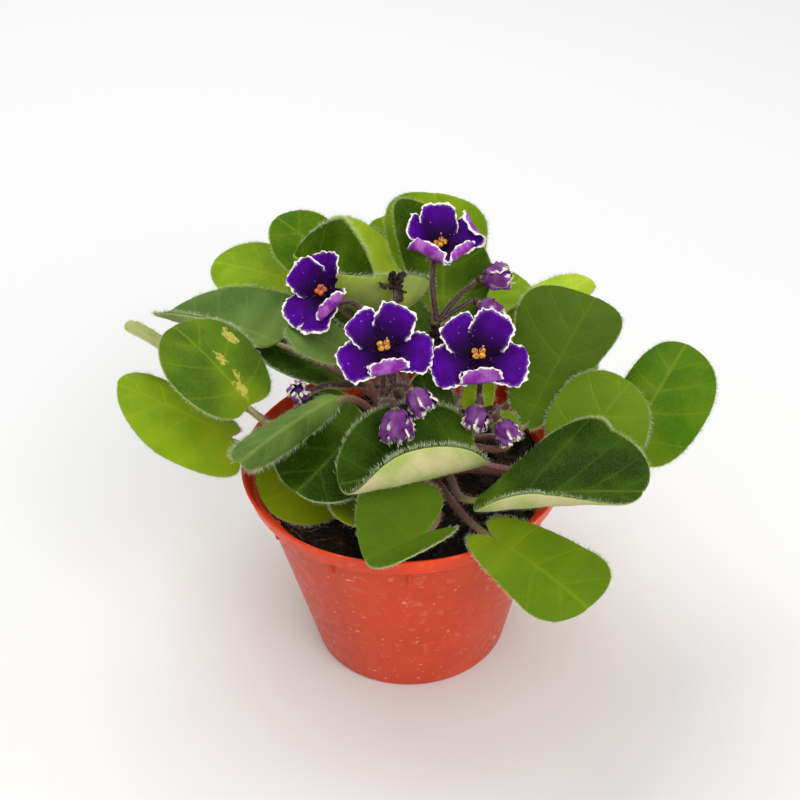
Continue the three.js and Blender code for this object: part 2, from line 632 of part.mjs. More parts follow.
// One bloom: five petals round a short tube, and the anthers in its middle.
function buildBloom(bloom) {
  const matrix = placing(bloom.centre, bloom.facing, bloom.turn, bloom.size);
  const depth = BLOOM.tubeDepth;
  const tube = [[0, -depth], [0.5 * BLOOM.tubeRadius, -depth], [BLOOM.tubeRadius, -0.8], [2, 0.9], [0, 0.9]];
  let petals = turnedSolid(tube, 8);
  PETALS.forEach((petal, index) => {
    const own = radians(bloom.turns ? bloom.turns[index] : 0);
    const root = new THREE.Vector3(...petal.root).applyAxisAngle(UP, own);
    const tip = new THREE.Vector3(...petal.tip).applyAxisAngle(UP, own);
    const hinge = UP.clone().cross(tip).setZ(0).normalize();
    tip.applyAxisAngle(hinge, -radians(bloom.cup));
    const shape = {
      ...petal,
      root: root.toArray(),
      tip: tip.toArray(),
      roll: 0,
      lobe: 0,
      bias: 0,
      fullness: PETAL.fullness,
      belly: PETAL.belly,
      ruffle: 0.06,
      ruffleCount: 2.5,
      wave: 0.8,
      waveCount: 2,
    };
    petals = petals.add(bladeSolid(shape, PETAL.thickness, PETAL.rows, PETAL.columns));
  });
  addPiece(bloom.name + '_petals', petals.transform(matrix.elements), PETAL_COLOR, 0.55);

  let anthers = turnedSolid([[0, 1.2], [1.1, 1.2], [1.1, 2.6], [0, 2.6]], 6);
  [[-1.3, 0.3], [1.3, 0.3], [0.2, -1.2]].forEach(([x, y]) => {
    const lobe = new THREE.SphereGeometry(1.4, 6, 3);
    lobe.translate(x, y, 3);
    anthers = anthers.add(solidFromGeometry(lobe));
  });
  addPiece(bloom.name + '_anthers', anthers.transform(matrix.elements), ANTHER_COLOR, 0.6);
}

// One bud: a closed, ridged drop of folded petals.
function buildBud(bud) {
  const rings = [[0.16, 0], [0.34, 0.25], [0.42, 0.55], [0.36, 0.85], [0.2, 1]];
  const points = [];
  const triangles = [];
  rings.forEach(([radius, z]) => {
    for (let side = 0; side < BUD.sides; side += 1) {
      const angle = (2 * Math.PI * side) / BUD.sides;
      const ridged = radius * (1 + BUD.ridge * (side % 2 ? -1 : 1));
      points.push(ridged * Math.cos(angle), ridged * Math.sin(angle), z);
    }
  });
  const bottom = points.length / 3;
  points.push(0, 0, 0);
  points.push(0, 0, 0.92);
  for (let side = 0; side < BUD.sides; side += 1) {
    const next = (side + 1) % BUD.sides;
    const last = (rings.length - 1) * BUD.sides;
    triangles.push(bottom, next, side);
    triangles.push(bottom + 1, last + side, last + next);
    for (let ring = 0; ring + 1 < rings.length; ring += 1) {
      const a = ring * BUD.sides + side;
      const b = ring * BUD.sides + next;
      triangles.push(a, b, b + BUD.sides);
      triangles.push(a, b + BUD.sides, a + BUD.sides);
    }
  }
  const matrix = placing(bud.base, bud.facing, 0, bud.length);
  addPiece(bud.name, solidFromArrays(points, triangles).transform(matrix.elements), BUD_COLOR, 0.6);
}

// Returns the small leafy cup behind a bloom, whose sepals spread behind the petals.
function calyxSolid(bloom) {
  const back = -BLOOM.tubeDepth - GAP;
  let calyx = turnedSolid([[0, back - 2.4], [1.1, back - 2.4], [1.7, back], [0, back]], 6);
  for (let index = 0; index < PETALS.length; index += 1) {
    const angle = (2 * Math.PI * (index + 0.5)) / PETALS.length;
    const shape = {
      root: [0.4 * Math.cos(angle), 0.4 * Math.sin(angle), back - 1],
      tip: [BLOOM.sepalLength * Math.cos(angle), BLOOM.sepalLength * Math.sin(angle), back - 0.6],
      width: BLOOM.sepalWidth,
      roll: 0,
      arch: 0,
      left: [0, 0],
      right: [0, 0],
      lobe: 0,
      bias: 0,
      fullness: 1,
      belly: 1,
      ruffle: 0,
      ruffleCount: 1,
      wave: 0,
      waveCount: 1,
    };
    calyx = calyx.add(bladeSolid(shape, BLADE.thickness, 2, 2));
  }
  return calyx.transform(placing(bloom.centre, bloom.facing, bloom.turn, bloom.size).elements);
}

// Returns the point at a distance behind a bloom's or bud's own origin, along the way it faces.
function behind(origin, facing, distance) {
  return new THREE.Vector3(...facing).normalize().multiplyScalar(-distance).add(new THREE.Vector3(...origin));
}

// One spray: the forked stalk with its bloom's calyx, its buds' cups and its withered heads.
function buildSpray(spray, crownSpace) {
  const vectors = (points) => points.map((point) => new THREE.Vector3(...point));
  const stalk = (points, firstRadius, lastRadius) => {
    const route = new THREE.CatmullRomCurve3(points, false, 'centripetal');
    return tubeSolid(route, firstRadius, lastRadius, 5, points.length + 1);
  };
  const trunk = vectors(spray.trunk);
  const fork = trunk[trunk.length - 1];
  let solid = stalk(trunk, 1.4, 1.1);

  const bloom = BLOOMS.find(({ name }) => name === spray.bloom);
  const back = (BLOOM.tubeDepth + 1.5) * bloom.size;
  const bloomRoute = [
    fork,
    ...vectors(spray.bloomPath),
    behind(bloom.centre, bloom.facing, back + 6),
    behind(bloom.centre, bloom.facing, back),
  ];
  solid = solid.add(stalk(bloomRoute, 1.1, BLOOM.stalkRadius)).add(calyxSolid(bloom));

  Object.entries(spray.buds).forEach(([name, path]) => {
    const bud = BUDS.find((candidate) => candidate.name === name);
    const cup = turnedSolid([[0, -2.6], [0.9, -2.6], [2, -GAP], [0, -GAP]], 6);
    solid = solid.add(stalk([fork, ...vectors(path), behind(bud.base, bud.facing, 2)], 1, 0.9));
    solid = solid.add(cup.transform(placing(bud.base, bud.facing, 0, 1).elements));
  });

  spray.withered.forEach((path) => {
    const route = vectors(path);
    const end = route[route.length - 1];
    const head = new THREE.SphereGeometry(BLOOM.witheredRadius, 7, 4);
    head.scale(1.2, 0.9, 0.8);
    head.translate(end.x, end.y, end.z);
    solid = solid.add(stalk([fork, ...route], 0.9, 0.7)).add(solidFromGeometry(head));
  });
  addPiece(spray.name, solid.subtract(crownSpace), STEM_COLOR, 0.6);
}

// ---------------------------------------------------------------- assembly

const crownSpace = crownSolid(GAP);
buildPot();
buildSoil(crownSpace);
addPiece('crown', crownSolid(0), STEM_COLOR, 0.7);
LEAVES.forEach((leaf) => buildLeaf(leaf, crownSpace));
SPRAYS.forEach((spray) => buildSpray(spray, crownSpace));
BLOOMS.forEach(buildBloom);
BUDS.forEach(buildBud);

export default part;
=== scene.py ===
"""Looks of a potted African violet: hairy leaves, frilled blooms, buds, stalks, peat and pot.

The tables are in millimetres and degrees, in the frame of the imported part. Meshes are in metres.
"""

import logging
import math
from collections.abc import Callable, Sequence
from dataclasses import dataclass, field, replace
from enum import Enum

import bpy
import numpy as np
from mathutils import Matrix


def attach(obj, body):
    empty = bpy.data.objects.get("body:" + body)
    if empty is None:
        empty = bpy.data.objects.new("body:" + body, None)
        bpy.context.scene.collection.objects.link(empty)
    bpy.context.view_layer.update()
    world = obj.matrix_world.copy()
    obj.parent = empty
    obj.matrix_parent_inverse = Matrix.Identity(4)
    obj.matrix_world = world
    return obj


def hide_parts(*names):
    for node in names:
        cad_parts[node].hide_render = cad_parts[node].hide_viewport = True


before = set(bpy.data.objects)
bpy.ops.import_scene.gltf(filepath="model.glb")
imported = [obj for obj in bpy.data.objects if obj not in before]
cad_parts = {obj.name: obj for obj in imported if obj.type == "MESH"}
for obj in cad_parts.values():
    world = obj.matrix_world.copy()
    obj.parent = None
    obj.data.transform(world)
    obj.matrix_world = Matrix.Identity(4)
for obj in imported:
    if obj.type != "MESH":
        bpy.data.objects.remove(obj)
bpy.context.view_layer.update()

Array = np.ndarray
Vec = tuple[float, float, float]
Colour = tuple[float, float, float, float]
Draw = np.random.Generator

MM = 0.001
UP = np.array([0.0, 0.0, 1.0])
STEPS_BETWEEN = 24  # points of a smooth path between two of its places, before they are evened
DOME = (0.5, 0.6)  # a rod's rounded end: how far it stands out and its rim's width, in radii
DROOP = 0.35  # how far a hair's tip leans aside, as a share of its length
SUNK = 0.15  # how deep a hair's root stands in its surface, in mm
JOINT = 0.55  # how far up a bent hair has its joint
log = logging.getLogger("violet")


# ---------------------------------------------------------------- small sums


def srgb(code: int) -> Colour:
    """Return the linear colour of a screen colour written as 0xRRGGBB."""
    parts = [((code >> shift) & 255) / 255 for shift in (16, 8, 0)]
    linear = [p / 12.92 if p <= 0.04045 else ((p + 0.055) / 1.055) ** 2.4 for p in parts]
    return (*linear, 1.0)


def unit(vectors: Array) -> Array:
    """Return vectors, along the last axis, at length one."""
    vectors = np.asarray(vectors, float)
    length = np.linalg.norm(vectors, axis=-1, keepdims=True)
    return vectors / np.maximum(length, 1e-9)


def ease(low: float, high: float, value: Array) -> Array:
    """Return the smooth step that is 0 up to low and 1 from high on."""
    x = np.clip((value - low) / (high - low), 0, 1)
    return x * x * (3 - 2 * x)


def turned(vector: Array, axis: Array, degrees: float) -> Array:
    """Return vectors turned about a unit axis, by Rodrigues' formula."""
    angle = math.radians(degrees)
    across = np.cross(axis, vector)
    along = np.expand_dims(vector @ axis, -1) * axis
    return vector * math.cos(angle) + across * math.sin(angle) + along * (1 - math.cos(angle))


def lumps(points: Array, size: float, seed: int, waves: int = 14) -> Array:
    """Return smooth noise from about -1 to 1: a sum of plane sine waves in seeded directions.

    Args:
        points: places in mm, with x, y, z along the last axis.
        size: the width of one lump in mm.
        seed: the draw of directions and phases.
        waves: how many waves are added.

    Returns:
        One value for each place.
    """
    rng = np.random.default_rng(seed)
    ways = unit(rng.normal(size=(waves, 3))) * rng.uniform(0.7, 1.5, (waves, 1)) * math.pi / size
    phases = rng.uniform(0, 2 * math.pi, waves)
    return np.sin(points @ ways.T + phases).sum(-1) / math.sqrt(waves / 2) / 1.6


def bezier(a: Array, b: Array, c: Array, d: Array, count: int) -> Array:
    """Return points of a cubic curve from a to d, pulled towards b and c."""
    u = np.linspace(0, 1, count)[:, None]
    v = 1 - u
    return v**3 * a + 3 * v * v * u * b + 3 * v * u * u * c + u**3 * d


def even(points: Array, count: int) -> Array:
    """Return a path's points again, evenly spaced along its length."""
    steps = np.linalg.norm(np.diff(points, axis=0), axis=1)
    length = np.concatenate([[0.0], np.cumsum(steps)])
    places = np.linspace(0, length[-1], count)
    return np.stack([np.interp(places, length, points[:, k]) for k in range(3)], axis=1)


def through(points: Sequence[Vec] | Array, count: int) -> Array:
    """Return a smooth path through points: a centripetal Catmull-Rom curve, evenly spaced.

    Args:
        points: the places that the path passes, in mm.
        count: how many points the path gets.

    Returns:
        The path's points.
    """
    knots = np.asarray(points, float)
    knots = np.vstack([2 * knots[0] - knots[1], knots, 2 * knots[-1] - knots[-2]])
    spans = np.sqrt(np.linalg.norm(np.diff(knots, axis=0), axis=1))
    spans = np.maximum(spans, 1e-4)
    u = np.linspace(0, 1, STEPS_BETWEEN)[:, None]
    pieces = []
    for k in range(1, len(knots) - 2):
        before, here, after = spans[k - 1], spans[k], spans[k + 1]
        p0, p1, p2, p3 = knots[k - 1 : k + 3]
        first = ((p1 - p0) / before - (p2 - p0) / (before + here) + (p2 - p1) / here) * here
        last = ((p2 - p1) / here - (p3 - p1) / (here + after) + (p3 - p2) / after) * here
        cubic = 2 * p1 - 2 * p2 + first + last
        square = -3 * p1 + 3 * p2 - 2 * first - last
        pieces.append(p1 + first * u + square * u**2 + cubic * u**3)
    return even(np.vstack(pieces), count)


# ---------------------------------------------------------------- meshes


@dataclass
class Shell:
    """One surface of a piece: points, faces and what each point tells the material.

    Attributes:
        points: places in mm.
        faces: arrays of point numbers, one row a face, each array with its own number of corners.
        marks: named values for each point, with one or three numbers each.
        slot: which of the piece's materials it wears.
    """

    points: Array
    faces: list[Array]
    marks: dict[str, Array] = field(default_factory=dict)
    slot: int = 0

    def outward(self) -> "Shell":
        """Return the closed shell with its faces turned outwards, told by its volume's sign."""
        volume = 0.0
        for corners in self.faces:
            first = self.points[corners[:, 0]]
            for k in range(1, corners.shape[1] - 1):
                second, third = self.points[corners[:, k]], self.points[corners[:, k + 1]]
                volume += float(np.einsum("ij,ij->", first, np.cross(second, third)))
        if volume < 0:
            self.faces = [corners[:, ::-1] for corners in self.faces]
        return self

    def placed(self, matrix: Array) -> "Shell":
        """Return the shell moved by a 4 by 4 matrix."""
        self.points = self.points @ matrix[:3, :3].T + matrix[:3, 3]
        return self


def wrapped(grid: Array, marks: dict[str, Array] | None = None, slot: int = 0) -> Shell:
    """Return a closed shell from a grid whose columns go round and whose end rows are poles.

    Args:
        grid: places in mm, as rows by columns by 3.
        marks: values for each place of the grid.
        slot: which of the piece's materials it wears.

    Returns:
        The shell, with each end row drawn together into one point.
    """
    rows, columns = grid.shape[:2]
    inner = rows - 2
    index = 1 + np.arange(inner * columns).reshape(inner, columns)
    after = np.roll(index, -1, axis=1)
    quads = np.stack([index[:-1], index[1:], after[1:], after[:-1]], axis=-1).reshape(-1, 4)
    last = 1 + inner * columns
    top = np.stack([np.zeros(columns, int), index[0], after[0]], axis=-1)
    bottom = np.stack([np.full(columns, last), after[-1], index[-1]], axis=-1)

    def packed(values: Array) -> Array:
        """Return one value for the first pole, the inner rows and the last pole."""
        flat = values[1:-1].reshape(inner * columns, *values.shape[2:])
        return np.concatenate([values[:1].mean(axis=1), flat, values[-1:].mean(axis=1)])

    kept = {name: packed(values) for name, values in (marks or {}).items()}
    return Shell(packed(grid), [quads, np.vstack([top, bottom])], kept, slot).outward()


def evenly(count: int) -> Array:
    """Return as many angles, evenly spaced round a turn."""
    return 2 * math.pi * np.arange(count) / count


def rings(across: Array, over: Array, sides: int) -> Array:
    """Return circles of radius one, each in the plane of one pair of directions."""
    angle = evenly(sides)[None, :, None]
    return np.cos(angle) * across[:, None] + np.sin(angle) * over[:, None]


def everywhere(marks: dict[str, float] | None, grid: Array) -> dict[str, Array]:
    """Return each mark's one value for every place of a grid."""
    return {name: np.full(grid.shape[:2], value) for name, value in (marks or {}).items()}


def tube(path: Array, radius: Array, sides: int, marks: dict[str, float] | None = None,
         slot: int = 0, flatness: float = 0.0) -> Shell:
    """Return a closed round rod along a path, with domed ends.

    Each ring is a circle square to the path, in axes made from one direction that no part of the
    path runs along.

    Args:
        path: places in mm along the rod's middle.
        radius: the rod's radius at each place.
        sides: points round the rod.
        marks: values that are the same all over the rod.
        slot: which of the piece's materials it wears.
        flatness: how much of its upper side's height is lost, for a channelled stalk.

    Returns:
        The rod.
    """
    ways = unit(np.gradient(path, axis=0))
    choices = np.eye(3)
    spare = choices[np.argmin(np.abs(ways @ choices.T).max(axis=0))]
    across = unit(np.cross(ways, spare))
    ring = rings(across, np.cross(across, ways), sides)
    if flatness:
        ring = ring - flatness * np.maximum(ring @ UP, 0)[..., None] ** 2 * ring
    body = path[:, None] + ring * radius[:, None, None]
    ends = []
    for end, way in ((0, -1), (-1, 1)):
        pole = path[end] + way * DOME[0] * radius[end] * ways[end]
        ends.append(np.stack([pole + 0 * ring[end], pole + DOME[1] * radius[end] * ring[end]]))
    grid = np.concatenate([ends[0], body, ends[1][::-1]])
    along = np.pad(np.linspace(0, 1, len(path)), 2, mode="edge")
    kept = {"along": np.repeat(along[:, None], sides, axis=1)} | everywhere(marks, grid)
    return wrapped(grid, kept, slot)


def swept(profile: Array, angle: Array) -> Array:
    """Return the grid that a profile of (radius, z) rows sweeps at the given angles."""
    radius, z = profile[:, :1], profile[:, 1:]
    return np.stack([radius * np.cos(angle), radius * np.sin(angle), z + 0 * angle], axis=-1)


def spun(profile: Array, sides: int, marks: dict[str, float] | None = None, slot: int = 0) -> Shell:
    """Return the surface that a profile of (radius, z) rows, on the axis at both ends, sweeps round."""
    grid = swept(profile, evenly(sides))
    return wrapped(grid, everywhere(marks, grid), slot)


def rounded(profile: Sequence[Vec], steps: int) -> Array:
    """Return a profile whose corners are rounded: each row is radius, z and the corner's cut.

    Each cut corner becomes a quadratic curve between the two points at that distance from it.
    """
    rows = np.asarray(profile, float)
    out = []
    for k, (radius, z, cut) in enumerate(rows):
        here = np.array([radius, z])
        if cut <= 0 or k in (0, len(rows) - 1):
            out.append(here[None])
            continue
        before = here + cut * unit(rows[k - 1, :2] - here)
        after = here + cut * unit(rows[k + 1, :2] - here)
        u = np.linspace(0, 1, steps)[:, None]
        out.append((1 - u) ** 2 * before + 2 * u * (1 - u) * here + u * u * after)
    return np.vstack(out)


def hairs(roots: Array, ways: Array, lengths: Array, radius: float, rng: Draw,
          bent: bool = False, slot: int = 0) -> Shell:
    """Return fine hairs, each a three-sided spike that stands on its root and leans a little.

    Args:
        roots: where the hairs stand, in mm.
        ways: the direction in which each one grows.
        lengths: how long each one is.
        radius: how thick they are at the root.
        rng: the draw of how each one leans.
        bent: whether each one has a joint half way and bows over.
        slot: which of the piece's materials they wear.

    Returns:
        All the hairs in one shell, marked from 0 at the root to 1 at the tip.
    """
    count = len(roots)
    ways = unit(ways)
    lean = unit(np.cross(ways, rng.normal(size=(count, 3))))
    ring = rings(lean, np.cross(ways, lean), 3)
    base = (roots - SUNK * ways)[:, None] + radius * ring
    tip = roots + ways * lengths[:, None] + lean * (DROOP * lengths)[:, None]
    if bent:
        half = roots + ways * (JOINT * lengths)[:, None] + lean * (0.3 * DROOP * lengths)[:, None]
        middle = half[:, None] + 0.75 * radius * ring
        points = np.concatenate([base, middle, tip[:, None]], axis=1)
        share = np.array([0, 0, 0, JOINT, JOINT, JOINT, 1.0])
        triangles = np.array([[0, 2, 1], [3, 4, 6], [4, 5, 6], [5, 3, 6]])
        quads = np.array([[0, 1, 4, 3], [1, 2, 5, 4], [2, 0, 3, 5]])
    else:
        points = np.concatenate([base, tip[:, None]], axis=1)
        share = np.array([0, 0, 0, 1.0])
        triangles = np.array([[0, 2, 1], [0, 1, 3], [1, 2, 3], [2, 0, 3]])
        quads = np.zeros((0, 4), int)
    step = (points.shape[1] * np.arange(count))[:, None, None]
    faces = [(triangles + step).reshape(-1, 3)]
    if len(quads):
        faces.append((quads + step).reshape(-1, 4))
    marks = {"along": np.tile(share, count), "own": np.repeat(rng.uniform(size=count), points.shape[1])}
    return Shell(points.reshape(-1, 3), faces, marks, slot).outward()


def put(name: str, shells: Sequence[Shell], finishes: Sequence["Finish"], nodes: Sequence[str]) -> bpy.types.Object:
    """Args:
        name: the piece's name.
        shells: its surfaces, in mm.
        finishes: its materials, in the order that the shells' slots count.
        nodes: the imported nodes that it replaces.

    Returns:
        The piece's object, at the origin.
    """
    mesh = bpy.data.meshes.new(name)
    offsets = np.cumsum([0] + [len(shell.points) for shell in shells])
    points = np.vstack([shell.points for shell in shells]) * MM
    blocks = [
        (corners + offset, shell.slot) for shell, offset in zip(shells, offsets)
        for corners in shell.faces
    ]
    totals = np.concatenate([np.full(len(corners), corners.shape[1]) for corners, _ in blocks])
    corners = np.concatenate([block.ravel() for block, _ in blocks])
    wears = np.concatenate([np.full(len(block), worn) for block, worn in blocks])
    mesh.vertices.add(len(points))
    mesh.loops.add(len(corners))
    mesh.polygons.add(len(totals))
    for target, key, values, kind in (
        (mesh.vertices, "co", points.ravel(), np.float32),
        (mesh.loops, "vertex_index", corners, np.int32),
        (mesh.polygons, "loop_start", np.cumsum(totals) - totals, np.int32),
        (mesh.polygons, "loop_total", totals, np.int32),
        (mesh.polygons, "material_index", wears, np.int32),
        (mesh.polygons, "use_smooth", np.ones(len(totals)), bool),
    ):
        target.foreach_set(key, values.astype(kind))
    for mark in sorted({mark for shell in shells for mark in shell.marks}):
        wide = max(shell.marks[mark].ndim for shell in shells if mark in shell.marks)
        blank = (3,) if wide == 2 else ()
        values = np.concatenate([
            shell.marks.get(mark, np.zeros((len(shell.points), *blank))) for shell in shells
        ])
        kind, key = ("FLOAT_VECTOR", "vector") if blank else ("FLOAT", "value")
        layer = mesh.attributes.new(mark, kind, "POINT")
        layer.data.foreach_set(key, values.astype(np.float32).ravel())
    mesh.update(calc_edges=True)
    mesh.validate()
    for finish in finishes:
        mesh.materials.append(finish.material())
    piece = bpy.data.objects.new(name, mesh)
    bpy.context.scene.collection.objects.link(piece)
    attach(piece, "root")
    if nodes:
        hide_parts(*nodes)
    return piece


# ---------------------------------------------------------------- finishes


def reckoned(operation: str, swapped: bool = False) -> Callable[["Wire", "Value"], "Wire"]:
    """Return the method of one sign, where swapped puts the other value first."""

    def method(self: "Wire", other: "Value") -> "Wire":
        """Return what a node makes of this wire and another value."""
        return self.shading.math(operation, *((other, self) if swapped else (self, other)))

    return method


class Wire:
    """A value of a shader. The signs +, -, * and / reckon with it, and each adds one node."""

    def __init__(self, shading: "Shading", socket: bpy.types.NodeSocket) -> None:
        """Keep the material's helper, and the socket that the value comes out of."""
        self.shading, self.socket = shading, socket

    __add__ = reckoned("ADD")
    __sub__ = reckoned("SUBTRACT")
    __rsub__ = reckoned("SUBTRACT", True)
    __mul__ = reckoned("MULTIPLY")
    __truediv__ = reckoned("DIVIDE")


Value = Wire | float | tuple[float, ...]


class Shading:
    """Short calls that add shader nodes to one material and join them to its surface shader."""

    def __init__(self, name: str) -> None:
        """Start a material of that name with one surface shader."""
        self.material = bpy.data.materials.new(name)
        self.material.use_nodes = True
        self.tree = self.material.node_tree
        self.tree.nodes.clear()
        self.skin = self.node("ShaderNodeBsdfPrincipled")
        out = self.node("ShaderNodeOutputMaterial")
        self.tree.links.new(self.skin.outputs[0], out.inputs[0])

    def node(self, kind: str, **settings: object) -> bpy.types.Node:
        """Return a new node with the given settings."""
        node = self.tree.nodes.new(kind)
        for key, value in settings.items():
            setattr(node, key, value)
        return node

    def feed(self, socket: bpy.types.NodeSocket, value: Value) -> None:
        """Link a socket to a wire, or set it where the value is a plain one."""
        if isinstance(value, Wire):
            self.tree.links.new(value.socket, socket)
        else:
            socket.default_value = value

    def made(self, kind: str, inputs: dict[int | str, Value], output: int | str = 0,
             **settings: object) -> Wire:
        """Return one output of a new node, with its inputs fed by socket name or number."""
        node = self.node(kind, **settings)
        for key, value in inputs.items():
            self.feed(node.inputs[key], value)
        return Wire(self, node.outputs[output])

    def set(self, **values: Value) -> None:
        """Feed the surface shader's sockets, named in lower case with low lines for blanks."""
        names = {socket.name.lower().replace(" ", "_"): socket for socket in reversed(self.skin.inputs)}
        for key, value in values.items():
            self.feed(names[key], value)

    def mark(self, name: str) -> Wire:
        """Return the value that each point of the mesh carries under a name."""
        return self.made("ShaderNodeAttribute", {}, "Fac", attribute_name=name)

    def marks(self, name: str) -> list[Wire]:
        """Return the three values that each point of the mesh carries under a name."""
        source = self.made("ShaderNodeAttribute", {}, "Vector", attribute_name=name)
        parts = self.node("ShaderNodeSeparateXYZ")
        self.feed(parts.inputs[0], source)
        return [Wire(self, part) for part in parts.outputs]

    def place(self) -> Wire:
        """Return the Object coordinates."""
        return self.made("ShaderNodeTexCoord", {}, "Object")

    def height(self) -> Wire:
        """Return how high a point lies, in metres."""
        return self.made("ShaderNodeSeparateXYZ", {0: self.place()}, 2)

    def math(self, operation: str, a: Value, b: Value = 0.0) -> Wire:
        """Return a sum, product or other reckoning of one or two values."""
        return self.made("ShaderNodeMath", {0: a, 1: b, 2: 0.0}, operation=operation)

    def step(self, value: Value, low: Value, high: Value, start: float = 0.0, end: float = 1.0) -> Wire:
        """Return the smooth step of a value from start at low to end at high."""
        inputs = {0: value, 1: low, 2: high, 3: start, 4: end}
        return self.made("ShaderNodeMapRange", inputs, interpolation_type="SMOOTHSTEP")

    def mix(self, share: Value, *colours: Value) -> Wire:
        """Return a colour between two, each a wire, a linear colour or a 0xRRGGBB one."""
        first, second = (srgb(colour) if isinstance(colour, int) else colour for colour in colours)
        return self.made("ShaderNodeMix", {0: share, 6: first, 7: second}, 2, data_type="RGBA")

    def noise(self, size: float, detail: float = 2.0, vector: Wire | None = None,
              stretch: Vec | None = None) -> Wire:
        """Return cloudy noise from about 0.2 to 0.8.

        Args:
            size: the width of one cloud in mm.
            detail: how many finer layers are added.
            vector: where it is read, or the Object coordinates.
            stretch: factors for the three coordinates.

        Returns:
            The noise value.
        """
        vector = vector or self.place()
        if stretch:
            vector = self.made("ShaderNodeMapping", {0: vector, "Scale": stretch})
        inputs = {"Vector": vector, "Scale": 1 / (size * MM), "Detail": detail}
        return self.made("ShaderNodeTexNoise", inputs)

    def cells(self, size: float, edges: bool = False) -> Wire:
        """Return how far a place is from its cell's middle, or from its cell's edge."""
        feature = "DISTANCE_TO_EDGE" if edges else "F1"
        inputs = {"Vector": self.place(), "Scale": 1 / (size * MM)}
        return self.made("ShaderNodeTexVoronoi", inputs, "Distance", feature=feature)

    def bump(self, height: Value, depth: float, strength: float) -> None:
        """Tilt the surface shader's normal by a height from 0 to 1, which stands for a depth in mm."""
        inputs = {"Strength": strength, "Distance": depth * MM, "Height": height}
        self.set(normal=self.made("ShaderNodeBump", inputs))

    def wear(self, colour: Wire, rough: Value, shine: float) -> None:
        """Give the surface its colour, roughness and specular level."""
        self.set(base_color=colour, roughness=rough, specular_ior_level=shine)

    def glow(self, weight: float, radius: Vec, scale: float) -> None:
        """Let light into the surface: how much, how far by colour, and over how many mm."""
        self.set(subsurface_weight=weight, subsurface_radius=radius, subsurface_scale=scale * MM)


MADE: dict[str, bpy.types.Material] = {}


@dataclass(frozen=True)
class Finish:
    """A surface's looks. Each kind of finish paints its own shader."""

    name: str

    def material(self) -> bpy.types.Material:
        """Return this finish's material, made once."""
        if self.name not in MADE:
            shading = Shading(self.name)
            self.paint(shading)
            MADE[self.name] = shading.material
        return MADE[self.name]

    def paint(self, m: Shading) -> None:
        """Add this finish's nodes to a material."""
        raise NotImplementedError(f"{self.name} has no looks for {m.material.name}")


@dataclass(frozen=True)
class LeafFinish(Finish):
    """A hairy leaf: mottled green above with painted shade between the side veins, pale below, with a vein pattern,
    a pale rim and some glow.

    Attributes:
        upper: the upper side's colour.
        deep: its darker clouds, and the painted shade between the side veins.
        young: the yellower green along the midrib and near the petiole.
        under: the underside's colour.
        rim: the thin line round the margin.
        through: how much light passes through it.
        scars: each scar's place along and across the blade, and its radius, in mm.
        painted_light: painted light: how far the whole leaf leans to the lighter young colour.
        scar: the scars' yellow.
        under_vein: the underside's veins.
        under_net: the fine net between them.
    """

    upper: int
    deep: int
    young: int
    under: int
    rim: int
    through: float
    scars: tuple[Vec, ...] = ()
    painted_light: float = 0.0
    scar: int = 0xC4B45A
    under_vein: int = 0x9FAE62
    under_net: int = 0xA9B472

    def paint(self, m: Shading) -> None:
        """Mix both sides' colours by the side mark, paint shade between the side veins, and lay veins, rim and fine
        net over them.
        """
        along, across, edge = m.marks("flat")
        side, phase, reach = m.marks("tone")
        away = m.math("ABSOLUTE", across)
        near = 0.5 - m.math("ABSOLUTE", m.math("FRACT", phase) - 0.5)
        wide = m.step(reach, 0.1, 1.0, 0.075, 0.03)
        line = m.step(near / wide, 0.1, 1.5, 1.0, 0.0)
        midrib = m.step(away, 0.2, 1.1, 1.0, 0.0)
        vein = m.math("MAXIMUM", line * 0.45, midrib)
        net = m.step(m.cells(2.6, edges=True), 0.0, 0.1, 1.0, 0.0)
        cloud = m.noise(16.0, 3.0)
        fine = m.noise(0.7)

        green = m.mix(m.step(cloud, 0.36, 0.64), self.deep, self.upper)
        early = m.step(along + away * 0.9, 0.0, 26.0, 0.85, 0.0)
        green = m.mix(early * m.step(cloud, 0.3, 0.7, 1.0, 0.7), green, self.young)
        # painted shade: the upper side darkens midway between two side veins, where the quilting would lie in shade
        green = m.mix(m.step(near, 0.08, 0.46, 0.0, 0.32), green, self.deep)
        # the last share is painted light, which lightens the whole leaf
        for share in (vein * 0.38, net * 0.08, m.step(fine, 0.35, 0.75, 0.0, 0.08), self.painted_light):
            green = m.mix(share, green, self.young)
        for far, aside, radius in self.scars:
            by_length, by_width = (along - far) * 0.7, across - aside
            distance = m.math("SQRT", by_length * by_length + by_width * by_width)
            ragged = m.noise(1.7, 5.0) * 8.0 + distance
            green = m.mix(m.step(ragged, radius + 3.0, radius + 3.9, 0.75, 0.0), green, self.scar)

        pale = m.mix(m.step(cloud, 0.35, 0.65), self.under, self.rim)
        pale = m.mix(vein * 0.4, pale, self.under_vein)
        pale = m.mix(net * 0.15, pale, self.under_net)
        colour = m.mix(side, pale, green)
        brink = m.step(edge + fine * 0.3, 0.2, 0.55, 0.6, 0.0)
        colour = m.mix(brink, colour, self.rim)

        relief = net * 0.35 * (0.5 - side) + fine * 0.5
        m.bump(relief - line * (side - 0.5), 0.35, 0.6)
        m.glow(self.through, (0.7, 1.3, 0.25), 1.0)
        m.wear(colour, m.step(fine, 0.3, 0.7, 0.42, 0.6), 0.05)


@dataclass(frozen=True)
class HairFinish(Finish):
    """Fine hairs, clearer at the tip.

    Attributes:
        root: the colour where a hair stands.
        tip: the colour at its end.
    """

    root: int
    tip: int

    def paint(self, m: Shading) -> None:
        """Run from the root's colour to the tip's, a little different on each hair."""
        along, own = m.mark("along"), m.mark("own")
        colour = m.mix(m.step(along, 0.0, 0.7), self.root, self.tip)
        m.wear(m.mix(own * 0.35, colour, self.root), 0.5, 0.15)


